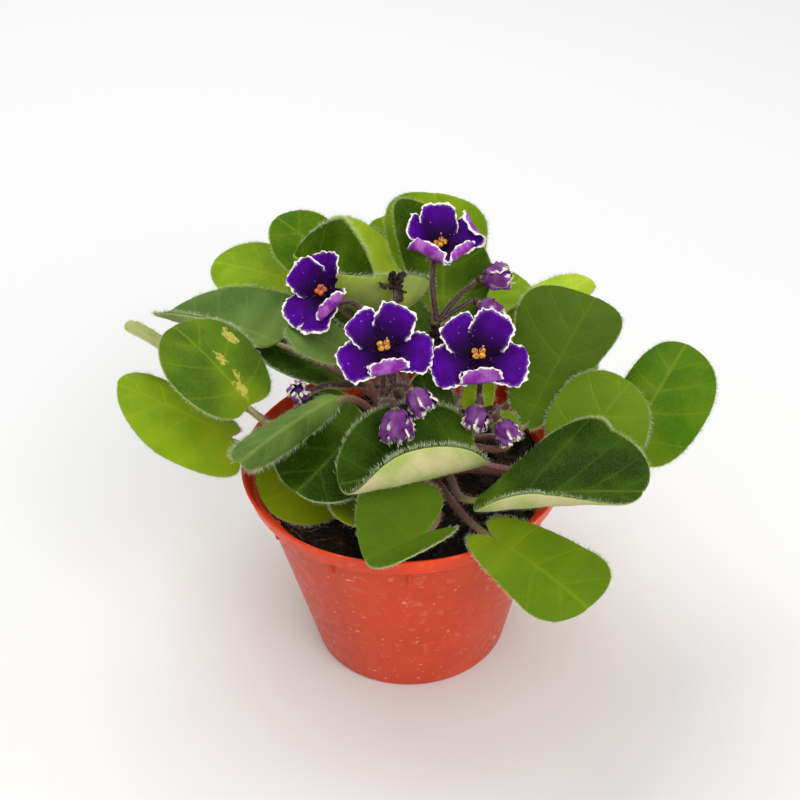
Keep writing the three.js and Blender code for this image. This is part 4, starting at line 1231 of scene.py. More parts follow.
# A blade lists root, tip, width, roll, arch, left, right and lobe, and then what it has besides.
LEAVES = (
    Leaf("leaf_left_low", LeafTone.LIGHT, 88.5,
         Blade((-68.5, -3, 104), (-112.5, 14, 119.5), 41, -3, 15, (2, -16), (-8, -24), 10.5,
               skew=-0.44, bias=0.11, belly=1.06), swing=14, lift=0.5, painted_light=0.15),
    Leaf("leaf_left_round", LeafTone.SPOTTED, 93,
         Blade((-58.8, -8.7, 123.5), (-87, 13.1, 146.2), 53.8, 17, 17, (3, -7), (1, -5), 5,
               skew=-0.06, bias=-0.03, belly=1.02), swing=-14, lift=-8),
    Leaf("leaf_left_pale_tip", LeafTone.LIGHT, 84,
         Blade((-85, 33.5, 113.5), (-112, 43.5, 128.5), 30, 54, 9, (0, 12), (-1, 7), 2, belly=0.91),
         swing=20, lift=2.5),
    Leaf("leaf_left_back_grey", LeafTone.GREY, 100.5,
         Blade((-50, 41.9, 118.4), (-96, 68, 119.9), 52.1, -12, 13, (13, 75), (4, -1), 6, skew=0.28,
               bias=0.08, belly=0.71), swing=-2, lift=13.5, fringe=1.3),
    Leaf("leaf_back_left_light", LeafTone.LIGHT, 103.5,
         Blade((-41.6, 83, 121.1), (-79.7, 93, 127.7), 42.6, -7, 14, (0, -8), (0, -9), 7),
         swing=-12, lift=5.5),
    Leaf("leaf_back_left_bright", LeafTone.BRIGHT, 93,
         Blade((-27.7, 76.5, 136.4), (-50.4, 90.1, 150), 36.3, -1, 10, (-2, -10), (2, -4), 5,
               belly=0.8), swing=13, lift=7),
    Leaf("leaf_back_cup", LeafTone.MID, 98,
         Blade((-9.5, 54.8, 121.5), (-41.4, 51.8, 153.5), 66.3, 1, -52, (27, 92), (47, 38), 5.5,
               skew=-0.39, bias=0.16, belly=0.93), swing=1, lift=-4, fringe=1.7),
    Leaf("leaf_back_lit_wall", LeafTone.LIT, 91,
         Blade((3.5, 76.8, 109.3), (-28.8, 108.1, 138.7), 43.9, 5, -9, (0, 14), (-2, 13), 4.5,
               skew=-0.14, bias=0.18, belly=0.9), swing=-7, lift=-4),
    Leaf("leaf_back_sliver", LeafTone.LIGHT, 85.5,
         Blade((10.1, 88.4, 105.6), (-6, 120.4, 131.7), 34.2, 0, 8, (0, 6), (0, 6), 4), swing=2,
         lift=3),
    Leaf("leaf_top_rear", LeafTone.LIGHT, 96.5,
         Blade((16.6, 68.3, 129.4), (17.6, 99.5, 153.6), 44.9, 3, -13, (2, 27), (1, 25), 6,
               skew=0.11, belly=1.17), swing=5, lift=-0.5),
    Leaf("leaf_top_front", LeafTone.MID, 102.5,
         Blade((18.5, 44.5, 127.5), (19.5, 74, 157.5), 42.5, 1, -15, (8, 30), (1, 26), 6, skew=0.56,
               bias=0.03, belly=1.42), lift=-3),
    Leaf("leaf_right_back_lit", LeafTone.LIT, 94,
         Blade((42.5, 50.5, 110.5), (83, 79, 120), 29.5, -2, 13, (-4, 10), (0, 8), 5, skew=0.05,
               bias=0.06, belly=0.9)),
    Leaf("leaf_back_behind_bud", LeafTone.LIGHT, 98.5,
         Blade((27, 65.4, 117.4), (54.9, 81.3, 119.4), 34, 0, 8, (0, 8), (0, 8), 5, belly=1),
         swing=-25, lift=5.5),
    Leaf("leaf_right_tall", LeafTone.DARK, 93.5,
         Blade((50, 3.5, 101), (80.5, 45, 131.5), 48, -2, 17, (-2, 4), (2, 5), 7.5, skew=0.11,
               bias=0.2, belly=1.75), swing=21, painted_light=0.45),
    Leaf("leaf_right_round", LeafTone.MID, 93.5,
         Blade((66, -20.5, 102), (88, -4, 123), 43.5, 7, 21, (-2, -6), (0, -8), 5.5, skew=0.09,
               bias=0.03, belly=0.94), swing=-28, lift=8.5, painted_light=0.5),
    Leaf("leaf_right_far", LeafTone.BRIGHT, 83,
         Blade((85, -18.5, 102), (114.5, 23, 121.5), 40.5, -4, 7, (-3, -16), (-3, -11), 7,
               skew=0.14, bias=-0.12, belly=1.08), lift=5),
    Leaf("leaf_right_front_dark", LeafTone.DARK, 89,
         Blade((26, -47.5, 104.5), (85, -58, 113), 60.5, -5, 9, (-13, 51), (-22, 114), -11,
               skew=0.37, bias=0.29, belly=0.7), swing=19),
    Leaf("leaf_front_right_low", LeafTone.BRIGHT, 84,
         Blade((32.5, -61, 95.5), (62.5, -88, 85.5), 33.5, 16, 27, (-1, 18), (1, -9), 14, skew=0.2,
               bias=0.04, belly=1.54), painted_light=0.3),
    Leaf("leaf_front_small", LeafTone.DARK, 89,
         Blade((6.5, -55, 95.3), (-15.9, -67.5, 94.3), 33.4, -22, 4, (0, 55), (3, 10), 15,
               skew=0.19, bias=-0.46, belly=1.32), lift=3, painted_light=0.7),
    Leaf("leaf_front_cup", LeafTone.DARK, 93.5,
         Blade((26.6, -26, 107.8), (-24.6, -43.5, 110.3), 59.7, -21, -6, (19, 112), (5, 12), 4.5,
               skew=0.1, bias=0.11, belly=0.99), swing=-24, lift=3, fringe=1.4),
    Leaf("leaf_front_left_dark", LeafTone.DARK, 94.5,
         Blade((-14.3, -10.7, 116.1), (-40.5, -42.8, 107.1), 44.8, -19, -19, (-4, 8), (-16, 6), 6.5,
               skew=0.15, bias=-0.2, belly=0.88), swing=4, lift=0.5),
    Leaf("leaf_front_olive", LeafTone.OLIVE, 84,
         Blade((-2, -20, 83.7), (-15.6, -52.1, 96.3), 35.6, 5, 13, (6, 15), (3, 6), 5, skew=-0.07,
               bias=-0.16, belly=0.95), painted_light=0.5),
    Leaf("leaf_front_left_olive", LeafTone.OLIVE, 87.5,
         Blade((-27.2, -9.4, 85.6), (-55.9, -21.5, 86.1), 39.2, -20, 15, (-1, 8), (3, 6), 5,
               skew=-0.04, bias=-0.13, belly=0.99), swing=26, lift=-1.5, painted_light=0.5),
    Leaf("leaf_left_ridged", LeafTone.GREY, 97,
         Blade((-24.3, -9.9, 126.4), (-58.9, -51.8, 128.9), 29.6, -2, 16, (-57, -67), (-15, -37),
               0.5, skew=0.14, bias=-0.29, belly=0.98), swing=-14, lift=16, fringe=1.7),
    Leaf("leaf_inner_left_small", LeafTone.GREY, 103.5,
         Blade((-18.6, 10.8, 131), (-43.4, 24.9, 137.1), 23.8, 2, 10, (1, -4), (0, -6), 3,
               skew=0.03, belly=0.92), swing=12, lift=-2, fringe=1.3),
    Leaf("leaf_inner_left_dark", LeafTone.DARK, 86.5,
         Blade((-18.9, 33.3, 105.9), (-59.8, 48.4, 114.1), 42.9, -9, -4, (6, 37), (2, 25), 4,
               skew=-0.21, bias=-0.09, belly=1), swing=12, lift=12.5),
    Leaf("leaf_inner_front", LeafTone.DARK, 102.5,
         Blade((14, -11, 110), (7, 1, 128), 20, 0, -8, (0, 14), (0, 14), 1)),
    Leaf("leaf_inner_right_small", LeafTone.BRIGHT, 98,
         Blade((42, -10, 102), (38, -1, 110), 11, 0, 6, (0, 6), (0, 6), 2)),
    Leaf("leaf_inner_back_small", LeafTone.MID, 102.5,
         Blade((24, 22, 120), (26, 35, 131), 20, 0, 6, (0, 8), (0, 8), 3), lift=2.5),
    Leaf("leaf_inner_right_pale", LeafTone.LIGHT, 102.5,
         Blade((28, -3, 112), (33, 8, 124), 13, 0, -6, (0, 14), (0, 14), 2)),
    Leaf("leaf_low_back_left", LeafTone.MID, 83,
         Blade((-12.1, 61.1, 102), (-38.2, 93.2, 114.1), 48.3, 0, 16, (0, -6), (0, -6), 8),
         swing=8),
    Leaf("leaf_low_back_right", LeafTone.MID, 89.5,
         Blade((10, 48.2, 105.2), (24.9, 84, 115.2), 32.9, 0, 16, (0, -6), (0, -6), 6), swing=21,
         lift=8.5),
    Leaf("leaf_low_right", LeafTone.MID, 84,
         Blade((50, 30, 98), (80, 52, 99), 32, 0, 16, (0, -6), (0, -6), 6)),
)


# ---------------------------------------------------------------- blooms, buds and stalks

ROLL_RADIUS = 1.5  # of a petal's rolled part, in mm
ROLL_MOST = math.radians(148)  # how far round the roll goes before it runs straight on
PETAL_PLANE = 0.4  # the height of a petal's middle over the bloom's centre, in mm
FLAT = 99.0  # a start of the roll that no petal reaches

def placing(origin: Vec, facing: Vec, turn: float, size: float) -> Array:
    """Return the matrix that takes a frame facing +Z to a place, a facing and a turn about it.

    Args:
        origin: where the frame's middle goes, in mm.
        facing: the way that its z axis then points.
        turn: how far it is turned about that, in degrees.
        size: how much larger it gets.

    Returns:
        A 4 by 4 matrix.
    """
    out = unit(facing)
    across = turned(unit(np.cross(UP, out)), out, turn)
    matrix = np.eye(4)
    matrix[:3, :3] = np.stack([across, np.cross(out, across), out], axis=1) * size
    matrix[:3, 3] = origin
    return matrix


def ball(centre: Vec, radii: Vec, bumps: float, seed: int, slot: int = 0, sides: int = 18) -> Shell:
    """Return a lumpy rounded body: an ellipsoid whose radius swings with smooth noise."""
    angle = np.linspace(0, math.pi, sides // 2 + 1)
    profile = np.stack([np.sin(angle), -np.cos(angle)], axis=1)
    shell = spun(profile, sides, {"along": 0.5}, slot)
    swell = 1 + bumps * lumps(shell.points * 6, 4.0, seed)
    shell.points = shell.points * swell[:, None] * np.asarray(radii) + np.asarray(centre)
    return shell


def rolled(shell: Shell, way: Array, start: float) -> Shell:
    """Roll a flat petal's outer part up and back over its face.

    Beyond the start, the way outward follows a small circle over the face and then runs straight
    on, leaning back to the middle. Heights over the petal's plane turn with it.

    Args:
        shell: the petal in the bloom's own frame.
        way: the way from the bloom's middle to its tip.
        start: how far from the middle the roll begins, in mm.

    Returns:
        The same petal.
    """
    along = shell.points @ way
    beyond = np.maximum(along - start, 0)
    arc = np.minimum(beyond, ROLL_RADIUS * ROLL_MOST)
    angle, rest = arc / ROLL_RADIUS, beyond - arc
    arm = ROLL_RADIUS - (shell.points[:, 2] - PETAL_PLANE)
    reach = start + arm * np.sin(angle) + rest * np.cos(angle)
    moved = shell.points + (reach - along)[:, None] * way
    moved[:, 2] = PETAL_PLANE + ROLL_RADIUS - arm * np.cos(angle) + rest * np.sin(angle)
    shell.points = np.where((beyond > 0)[:, None], moved, shell.points)
    return shell


@dataclass(frozen=True)
class Petal:
    """One petal of the pattern bloom, in its own frame: x to the right, y up, z out of its face."""

    root: Vec
    tip: Vec
    width: float
    arch: float
    curl: float

    def shell(self, turn: float, cup: float, start: float, seed: int) -> Shell:
        """Return its surface, rolled up, closed towards its face and turned about the middle.

        Args:
            turn: the turn about the bloom's middle, in degrees.
            cup: how far the tip is raised, in degrees.
            start: how far from the middle it starts to roll up, in mm.
            seed: the draw of its fine waves.

        Returns:
            The petal's shell.
        """
        blade = Blade(
            self.root, self.tip, self.width, 0.0, self.arch, (0.0, self.curl), (0.0, self.curl),
            belly=1.2, fullness=0.62, ruffle=0.05, ruffle_count=2.5, wave=0.8, wave_count=2.0,
            frill=0.42, quilt=0.12, vein_gap=3.5, rib=0.0, thickness=0.55, seed=seed,
        )
        way = unit(np.asarray(self.tip) * (1, 1, 0))
        shell = rolled(blade.shell(44, 40), way, start)
        shell.points = turned(turned(shell.points, np.cross(UP, way), -cup), UP, turn)
        return shell


PETALS = (
    Petal((0.4, -0.6, -0.2), (18.2, -6.2, -0.6), 17.5, 12, -10),
    Petal((-0.4, -0.6, -0.2), (-18, -5, -0.6), 17.5, 12, -10),
    Petal((-0.4, 0.8, 0.5), (-9.3, 14, 1.8), 16, -8, 8),
    Petal((0.4, 0.8, 0.9), (9.8, 14.2, 3.5), 16.5, -8, 8),
    Petal((0, -1, 0.3), (0.6, -17.6, 0.6), 16.5, -8, 6),
)


@dataclass(frozen=True)
class Bloom:
    """An open bloom: five frilled petals round a short tube, with pollen sacs and a style.

    Attributes:
        name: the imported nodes' names begin with it.
        centre: its middle, in mm.
        facing: the way that it faces.
        turn: how far it is turned about that, in degrees.
        size: its size against the pattern petals.
        cup: how far its petals are closed up, in degrees.
        turns: how far each petal is turned about the bloom's middle, in degrees.
        sacs: the pollen sacs' colour.
        rolls: how far from the middle each petal starts to roll up, in mm.
        dust: how many loose grains of pollen lie on the sacs.
    """

    name: str
    centre: Vec
    facing: Vec
    turn: float
    size: float
    cup: float
    turns: tuple[float, ...] = (0.0,) * 5
    sacs: int = 0xE4A41E
    rolls: tuple[float, ...] = (FLAT, FLAT, FLAT, FLAT, 9.2)
    dust: int = 14

    def build(self, seed: int) -> None:
        """Build the petals with their tube, then the pollen sacs with the style."""
        matrix = placing(self.centre, self.facing, self.turn, self.size)
        shells = [
            petal.shell(turn, self.cup, start, seed + 7 * k).placed(matrix)
            for k, (petal, turn, start) in enumerate(zip(PETALS, self.turns, self.rolls))
        ]
        throat = np.array([
            (0, -3.2), (0.9, -3.2), (1.5, -2.6), (2.3, -0.8), (2.2, 0.2), (1.6, 0.9), (0, 0.9),
        ])
        shells.append(spun(throat, 24, slot=1).placed(matrix))
        finishes = [PetalFinish("petal_velvet"), GrainFinish("petal_throat", 0x22083E, 0x35105C)]
        put(f"{self.name}_petals_frilled", shells, finishes, [f"{self.name}_petals"])

        rng = np.random.default_rng(seed)
        sacs = [
            ball((x, y, 3.0 + 0.2 * k), (1.25, 1.15, 0.95), 0.06, seed + k)
            for k, (x, y) in enumerate(((-1.35, 0.95), (1.35, 0.95), (-1.2, -1.0), (1.2, -1.0)))
        ]
        stem = tube(np.array([(0, 0, 1.0), (0, 0, 1.8), (0, 0, 2.7)]), np.full(3, 0.8), 12, slot=1)
        style_path = even(np.array([(0.4, 0.3, 2.6), (0.8, 1.0, 4.2), (1.6, 1.9, 5.4)]), 8)
        style = tube(style_path, np.full(8, 0.22), 8, slot=1)
        stigma = ball((1.65, 1.95, 5.5), (0.4, 0.4, 0.32), 0.1, seed, slot=2)
        spots = zip(rng.uniform(-1.8, 1.8, 40), rng.uniform(-1.5, 1.5, 40))
        dust = [
            ball((x, y, 3.6), (0.1, 0.1, 0.1), 0.0, 1, sides=6)
            for _, (x, y) in zip(range(self.dust), spots)
        ]
        shells = [shell.placed(matrix) for shell in (*sacs, *dust, stem, style, stigma)]
        finishes = [
            GrainFinish(f"pollen_{self.sacs:06x}", self.sacs, 0x8A5416),
            GrainFinish("style_skin", 0x5B2A86, 0x3A1460),
            GrainFinish("stigma_skin", 0xD99AA8, 0xB06A88),
        ]
        put(f"{self.name}_anthers_dusty", shells, finishes, [f"{self.name}_anthers"])


@dataclass(frozen=True)
class Bud:
    """A closed bud: five petals rolled round each other, whose pale margins show as seams.

    Attributes:
        name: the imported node's name.
        base: where its stalk ends, in mm.
        facing: the way that it points.
        length: its length in mm.
        open: how far the mouth has opened, from 0 to 1.
    """

    name: str
    base: Vec
    facing: Vec
    length: float
    open: float = 0.6

    def petal(self, index: int) -> Shell:
        """Return one rolled petal in the bud's own frame, one unit long.

        It is a strip of the bud's turned outline, a little over a quarter of the way round. One
        side edge lies outside the next petal and the other inside the last. The mouth and the
        outer edge are frilled.
        """
        s = np.linspace(0, 1, 31)[:, None]
        t = towards_ends(22)
        heights = np.array([0, 0.12, 0.25, 0.55, 0.85, 1.0])
        radii = np.array([0.12, 0.25, 0.335, 0.405, 0.34 + 0.08 * self.open, 0.16 + 0.2 * self.open])
        z = s * (1.04 - 0.16 * t**2 - 0.08 * np.cos(9 * t + index))
        layer = (0.055 * t + 0.012 * index) * ease(0.05, 0.4, z)
        side_frill = 0.03 * np.sin(34 * z + 5 * index) * ease(0.6, 1.0, t)
        mouth_frill = 0.03 * np.sin(13 * t + index) * s**6
        radius = np.interp(z, heights, radii) + layer + side_frill + mouth_frill
        half = 0.86 * ease(-0.25, 0.3, z) * ease(0.0, 0.12, s) * (1 - 0.4 * ease(0.8, 1.0, s))
        angle = 2 * math.pi * index / 5 + 0.5 * z + half * t

        def face(offset: float) -> Array:
            """Return the strip's points at one distance from its middle surface."""
            r = radius + offset * np.minimum(1, 6 * (1 - np.abs(t))) * np.minimum(1, 8 * (1 - s))
            return np.stack([r * np.cos(angle), r * np.sin(angle), z], axis=-1)

        from_side = (1 - t) * 0.33 * self.length * (0.35 + s)
        from_mouth = (1 - s) * self.length * 0.9
        flat = np.stack([z * self.length, t * 4 + 0 * z, np.minimum(from_side, from_mouth)], axis=-1)
        marks = {
            "flat": back_to_back(flat, flat[:, ::-1]),
            "tone": back_to_back(np.zeros_like(flat), np.ones_like(flat)),
        }
        return wrapped(back_to_back(face(0.022), face(-0.022)[:, ::-1]), marks)

    def build(self, seed: int) -> None:
        """Build the five rolled petals round a dark core, with fine hairs outside."""
        matrix = placing(self.base, self.facing, 0.0, self.length)
        shells = []
        for k in range(5):
            strip = self.petal(k)
            swell = 0.13 * lumps(strip.points * 10, 1.7, seed + k)
            strip.points = strip.points * (1 + swell[:, None] * (1, 1, 0.4))
            shells.append(strip.placed(matrix))
        core = np.array([(0, 0.0), (0.1, 0.0), (0.2, 0.15), (0.3, 0.5), (0.22, 0.75), (0.0, 0.8)])
        shells.append(spun(core, 20, slot=1).placed(matrix))
        finishes = [
            PetalFinish("bud_petal", 0x43158A, 0x2C0A58, 0x682E72, 0x92609C, 0xEDE4D0, 0.75),
            GrainFinish("bud_core", 0x2A0C4C, 0x44146E),
        ]
        put(f"{self.name}_folded", shells, finishes, [self.name])


BLOOM_CUP = ((0, -6.0), (0.7, -6.0), (1.25, -5.2), (1.75, -4.0), (1.8, -3.5), (0, -3.5))
BUD_CUP = ((0, -2.8), (0.6, -2.8), (1.2, -1.8), (1.9, -0.6), (2.0, -0.3), (0, -0.3))


@dataclass(frozen=True)
class Spray:
    """A forked stalk from the crown, with a bloom's calyx, its buds' cups and its withered heads.

    Attributes:
        name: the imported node's name.
        trunk: the places that its stalk passes up to the fork, in mm.
        bloom: the bloom that it carries.
        bloom_path: the places between the fork and the bloom.
        buds: each bud that it carries, with the places between the fork and the bud.
        withered: the places of each withered head's stalk, the last one its middle.
    """

    name: str
    trunk: tuple[Vec, ...]
    bloom: Bloom
    bloom_path: tuple[Vec, ...]
    buds: tuple[tuple[Bud, tuple[Vec, ...]], ...]
    withered: tuple[tuple[Vec, ...], ...] = ()

    def calyx(self, matrix: Array, cup: Sequence[tuple[float, float]], tint: float,
              sepal: tuple[float, float, float], seed: int) -> list[Shell]:
        """Return the cup behind a bloom or round a bud's base, with five pointed sepals in a ring.

        Args:
            matrix: what places it.
            cup: its profile as (radius, z) places, in mm.
            tint: how far along a stalk the cup's colour is taken from.
            sepal: where each sepal starts, how far out it reaches, and how far it rises, in mm.
            seed: the draw of the sepals.

        Returns:
            The cup and its sepals.
        """
        back, length, rise = sepal
        found = [spun(np.array(cup), 18, {"along": tint}).placed(matrix)]
        for k in range(5):
            angle = 2 * math.pi * (k + 0.5) / 5
            way = np.array([math.cos(angle), math.sin(angle), 0.0])
            blade = Blade(
                tuple(0.4 * way + (0, 0, back)), tuple(length * way + (0, 0, back + rise)), 2.6,
                arch=18.0, belly=0.8, fullness=1.1, wave=0.15, quilt=0.0, rib=0.3, thickness=0.6,
                vein_gap=2.5, seed=seed + k,
            )
            found.append(blade.shell(20, 12, slot=1).placed(matrix))
        return found

    def build(self, seed: int) -> None:
        """Build the stalks, calyx, cups and withered heads, and then their hairs."""
        rng = np.random.default_rng(seed)
        shells: list[Shell] = []
        fuzz: list[Shell] = []

        def stalk(points: Sequence[Vec] | Array, first: float, last: float, hair: float = 7.0) -> None:
            """Add one round stalk with its hairs."""
            path = through(points, 8 * len(points))
            radius = np.linspace(first, last, len(path))
            shells.append(tube(path, radius, 14, {"own": 0.5}))
            fuzz.append(coat(path, radius, hair, 1.15, rng))

        def behind(origin: Vec, facing: Vec, distance: float) -> Vec:
            """Return the place at a distance behind a bloom or bud."""
            return tuple(np.asarray(origin) - distance * unit(facing))

        fork, bloom = self.trunk[-1], self.bloom
        stalk(self.trunk, 1.4, 1.15, 6.0)
        ends = [behind(bloom.centre, bloom.facing, 4.7 * bloom.size + far) for far in (6, 0)]
        stalk([fork, *self.bloom_path, *ends], 1.1, 0.95)
        matrix = placing(bloom.centre, bloom.facing, bloom.turn, bloom.size)
        shells.extend(self.calyx(matrix, BLOOM_CUP, 0.6, (-4.5, 6.5, 0.4), seed))
        for bud, path in self.buds:
            stalk([fork, *path, behind(bud.base, bud.facing, 2.0)], 1.0, 0.85)
            matrix = placing(bud.base, bud.facing, 0.0, 1.0)
            sepal = (-0.7, 0.34 * bud.length, 0.42 * bud.length)
            shells.extend(self.calyx(matrix, BUD_CUP, 0.5, sepal, seed + 9))
        for path in self.withered:
            stalk([fork, *path], 0.85, 0.65)
            shells.extend(self.crumpled(np.asarray(path[-1], float), rng))
        finishes = [
            StalkFinish("stalk_skin", 0x361E22, 0x522E32, 0x64542E, 0.75),
            LeafFinish("sepal_skin", 0x6B7A3E, 0x5A4A34, 0x8A8450, 0x7A7A4A, 0xA0A070, 0.1),
            GrainFinish("withered_petal", 0x15110F, 0x3A2C22, 1.6, 0.4, 0.8),
        ]
        put(f"{self.name}_stalks", shells, finishes, [self.name])
        put(f"{self.name}_hairs", fuzz, [HairFinish("stalk_hair", 0x8C6E66, 0xE2D8CC)], [])

    def crumpled(self, centre: Array, rng: Draw) -> list[Shell]:
        """Return a withered head: a shrunken core with small petals shrivelled round it."""
        shells = [ball(tuple(centre), (2.4, 2.0, 1.8), 0.3, 5, slot=2)]
        for k in range(7):
            way = unit(rng.normal(size=3) + (0, 0, 0.4))
            root = centre + 0.8 * way
            blade = Blade(
                tuple(root), tuple(centre + 6.6 * way), 4.2, arch=float(rng.uniform(-70, 70)),
                left=(10, float(rng.uniform(-80, 80))), right=(-10, float(rng.uniform(-80, 80))),
                belly=1.3, fullness=0.6, wave=0.5, frill=0.5, quilt=0.0, rib=0.0, thickness=0.5, seed=k,
            )
            shells.append(blade.shell(16, 12, slot=2))
        return shells


SPRAYS = (
    Spray(
        "spray_front", ((6, -2, 101), (0, -3, 112), (-8, -9, 122)),
        Bloom("bloom_middle", (-6, -13, 150), (0, -0.68, 0.73), 8, 0.96, 0), (),
        (
            (Bud("bud_front_low", (-3, -25, 131), (0.1, -0.5, -0.85), 13, 0.5), ((-6, -19, 130),)),
            (Bud("bud_front_high", (3, -15, 132), (0.6, -0.5, -0.6), 11), ((-3, -12, 132),)),
        ),
    ),
    Spray(
        "spray_right", ((12, -3, 101), (19, -8, 106), (29, -5, 113)),
        Bloom("bloom_right", (29, -9, 142), (0.05, -0.68, 0.73), -1, 1.02, 0),
        ((30, -3, 126),),
        (
            (Bud("bud_right_low", (36, -18, 118), (0.5, -0.4, -0.6), 10),
             ((36, -8, 117), (36, -15, 119))),
            (Bud("bud_right_high", (29, -14, 123), (-0.25, -0.4, -0.8), 10), ((30, -7, 121),)),
        ),
    ),
    Spray(
        "spray_top", ((10, 2, 101), (11, 12, 115), (15, 31, 132)),
        Bloom("bloom_top", (17, 45, 158), (0.2, -0.3, 0.92), 10, 1.0, 26,
              rolls=(14, 13, FLAT, FLAT, 12)),
        ((14, 38, 144),),
        (
            (Bud("bud_back_high", (34, 46, 142), (0.8, -0.1, 0.2), 12), ((24, 38, 139),)),
            (Bud("bud_back_low", (32, 38, 136), (0.75, -0.3, -0.5), 11), ((22, 35, 134),)),
        ),
        (((15, 25, 129),),),
    ),
    Spray(
        "spray_left", ((5, 1, 101), (1, 6, 108), (-3, 10, 115)),
        Bloom("bloom_left", (-28.5, 28, 149.5), (-0.5, -0.45, 0.72), 0, 0.97, 12,
              (262, 97, -4, 114, 68), 0xE0602A, (FLAT, FLAT, FLAT, FLAT, 11)),
        ((-10, 25, 131), (-18, 32, 142)),
        (
            (Bud("bud_left", (-40, 4, 117), (0, -0.5, 0.8), 9, 0.2),
             ((-16, 11, 117), (-32, 12, 116))),
        ),
        (((-2, 28, 134), (-1, 37, 146)),),
    ),
)


# ---------------------------------------------------------------- pot and peat


def welded(grids: Sequence[Array]) -> Shell:
    """Return one shell from open grids whose shared borders have the same points.

    Points that agree to a tenth of a micrometre become one. A quad that has lost a side to this
    becomes a triangle.
    """
    offset, points, quads = 0, [], []
    for grid in grids:
        rows, columns = grid.shape[:2]
        index = offset + np.arange(rows * columns).reshape(rows, columns)
        corners = [index[:-1, :-1], index[1:, :-1], index[1:, 1:], index[:-1, 1:]]
        quads.append(np.stack(corners, -1).reshape(-1, 4))
        points.append(grid.reshape(-1, 3))
        offset += rows * columns
    everything = np.vstack(points)
    places = np.round(everything, 4) + 0.0
    _, first, place = np.unique(places, axis=0, return_index=True, return_inverse=True)
    corners = place.reshape(-1)[np.vstack(quads)]
    short = corners[:, 0] == corners[:, 3]
    return Shell(everything[first], [corners[~short], corners[short][:, :3]]).outward()


@dataclass(frozen=True)
class Pot:
    """The thin moulded nursery pot: tapered wall, flared rim band, drain holes and lugs under the band.

    All sizes are in mm. The floor round each drain hole is a block that reaches `block` in and out
    from the ring that the holes lie on.
    """

    height: float = 90.0
    foot_radius: float = 40.0
    shoulder_z: float = 82.0
    shoulder_radius: float = 59.2
    band_radius: float = 63.0
    lip_radius: float = 65.5
    wall: float = 1.3
    floor: float = 1.6
    holes: int = 8
    hole_radius: float = 3.0
    hole_ring: float = 27.0
    block: float = 5.0
    lugs: int = 12
    lug_size: Vec = (1.3, 1.6, 9.0)

    def inner_radius(self, z: float) -> float:
        """Return the wall's inner radius at a height below the rim band."""
        flare = (self.shoulder_radius - self.foot_radius) / self.shoulder_z
        return self.foot_radius + flare * z - self.wall

    def angles(self) -> Array:
        """Return the angles of the pot's columns, which meet the corners round each drain hole."""
        inside = np.tan(np.linspace(-math.pi / 4, math.pi / 4, 25)[:-1])
        sector = 2 * math.pi / self.holes
        starts = sector * np.arange(self.holes)[:, None]
        return np.append((starts + sector / 2 * inside).ravel(), 2 * math.pi - sector / 2)

    def drains(self, z: float, flip: bool) -> list[Array]:
        """Return the part of the floor round each hole at one height.

        Each part runs from the hole's circle out to the edge of its own sector's block.
        """
        sector = 2 * math.pi / self.holes
        phi = np.linspace(-math.pi / 4, 7 * math.pi / 4, 97)
        box = np.stack([np.cos(phi), np.sin(phi)], -1)
        box = box / np.abs(box).max(axis=-1, keepdims=True)
        radius = self.hole_ring + self.block * box[:, 0]
        theta = box[:, 1] * sector / 2
        outer = np.stack([radius * np.cos(theta), radius * np.sin(theta)], -1)
        hole = self.hole_radius * np.stack([np.cos(phi), np.sin(phi)], -1) + (self.hole_ring, 0)
        flat = hole + np.linspace(0, 1, 6)[:, None, None] * (outer - hole)
        flat = flat[:, ::-1] if flip else flat
        turns = (sector * np.arange(self.holes))[:, None, None]
        x = flat[..., 0] * np.cos(turns) - flat[..., 1] * np.sin(turns)
        y = flat[..., 0] * np.sin(turns) + flat[..., 1] * np.cos(turns)
        return list(np.stack([x, y, np.full_like(x, z)], -1))

    def body(self) -> Shell:
        """Return the pot without its lugs: wall, lip, and a floor with its holes, all one surface."""
        low, high = self.hole_ring - self.block, self.hole_ring + self.block
        wall, shoulder = self.wall, self.shoulder_radius
        profile = rounded([
            (high, 0, 0), (self.foot_radius - 3, 0, 0), (self.foot_radius, 0, 1.6),
            (shoulder, self.shoulder_z, 0.7), (self.band_radius, self.shoulder_z, 0.75),
            (self.lip_radius, self.height, 0.55), (self.lip_radius - wall, self.height, 0.55),
            (self.band_radius - wall, self.shoulder_z + wall, 0.9),
            (shoulder - wall, self.shoulder_z, 0.8),
            (self.inner_radius(self.floor), self.floor, 1.2), (high, self.floor, 0),
        ], 6)
        under = swept(np.array([(0.0, 0.0), (low / 2, 0.0), (low, 0.0)]), self.angles())
        over = under[:, ::-1] + (0, 0, self.floor)
        below, above = self.drains(0.0, False), self.drains(self.floor, True)
        tubes = [np.stack([one[0, ::-1], other[0]]) for one, other in zip(below, above)]
        return welded([swept(profile, self.angles()), under, over, *below, *above, *tubes])

    def build(self) -> None:
        """Build the pot's body and its lugs, and dress them."""
        shells = [self.body()]
        depth, width, tall = self.lug_size
        middle = self.shoulder_z + 0.2 - tall / 2
        out = self.inner_radius(middle) + self.wall
        for angle in evenly(self.lugs):
            x, y = math.cos(angle), math.sin(angle)
            matrix = np.array([
                (x, -y, 0, out * x), (y, x, 0, out * y), (0, 0, 1, middle), (0, 0, 0, 1),
            ])
            shells.append(pillow((depth, width / 2, tall / 2)).placed(matrix))
        put("pot_body", shells, [PlasticFinish("pot_plastic")], ["pot"])


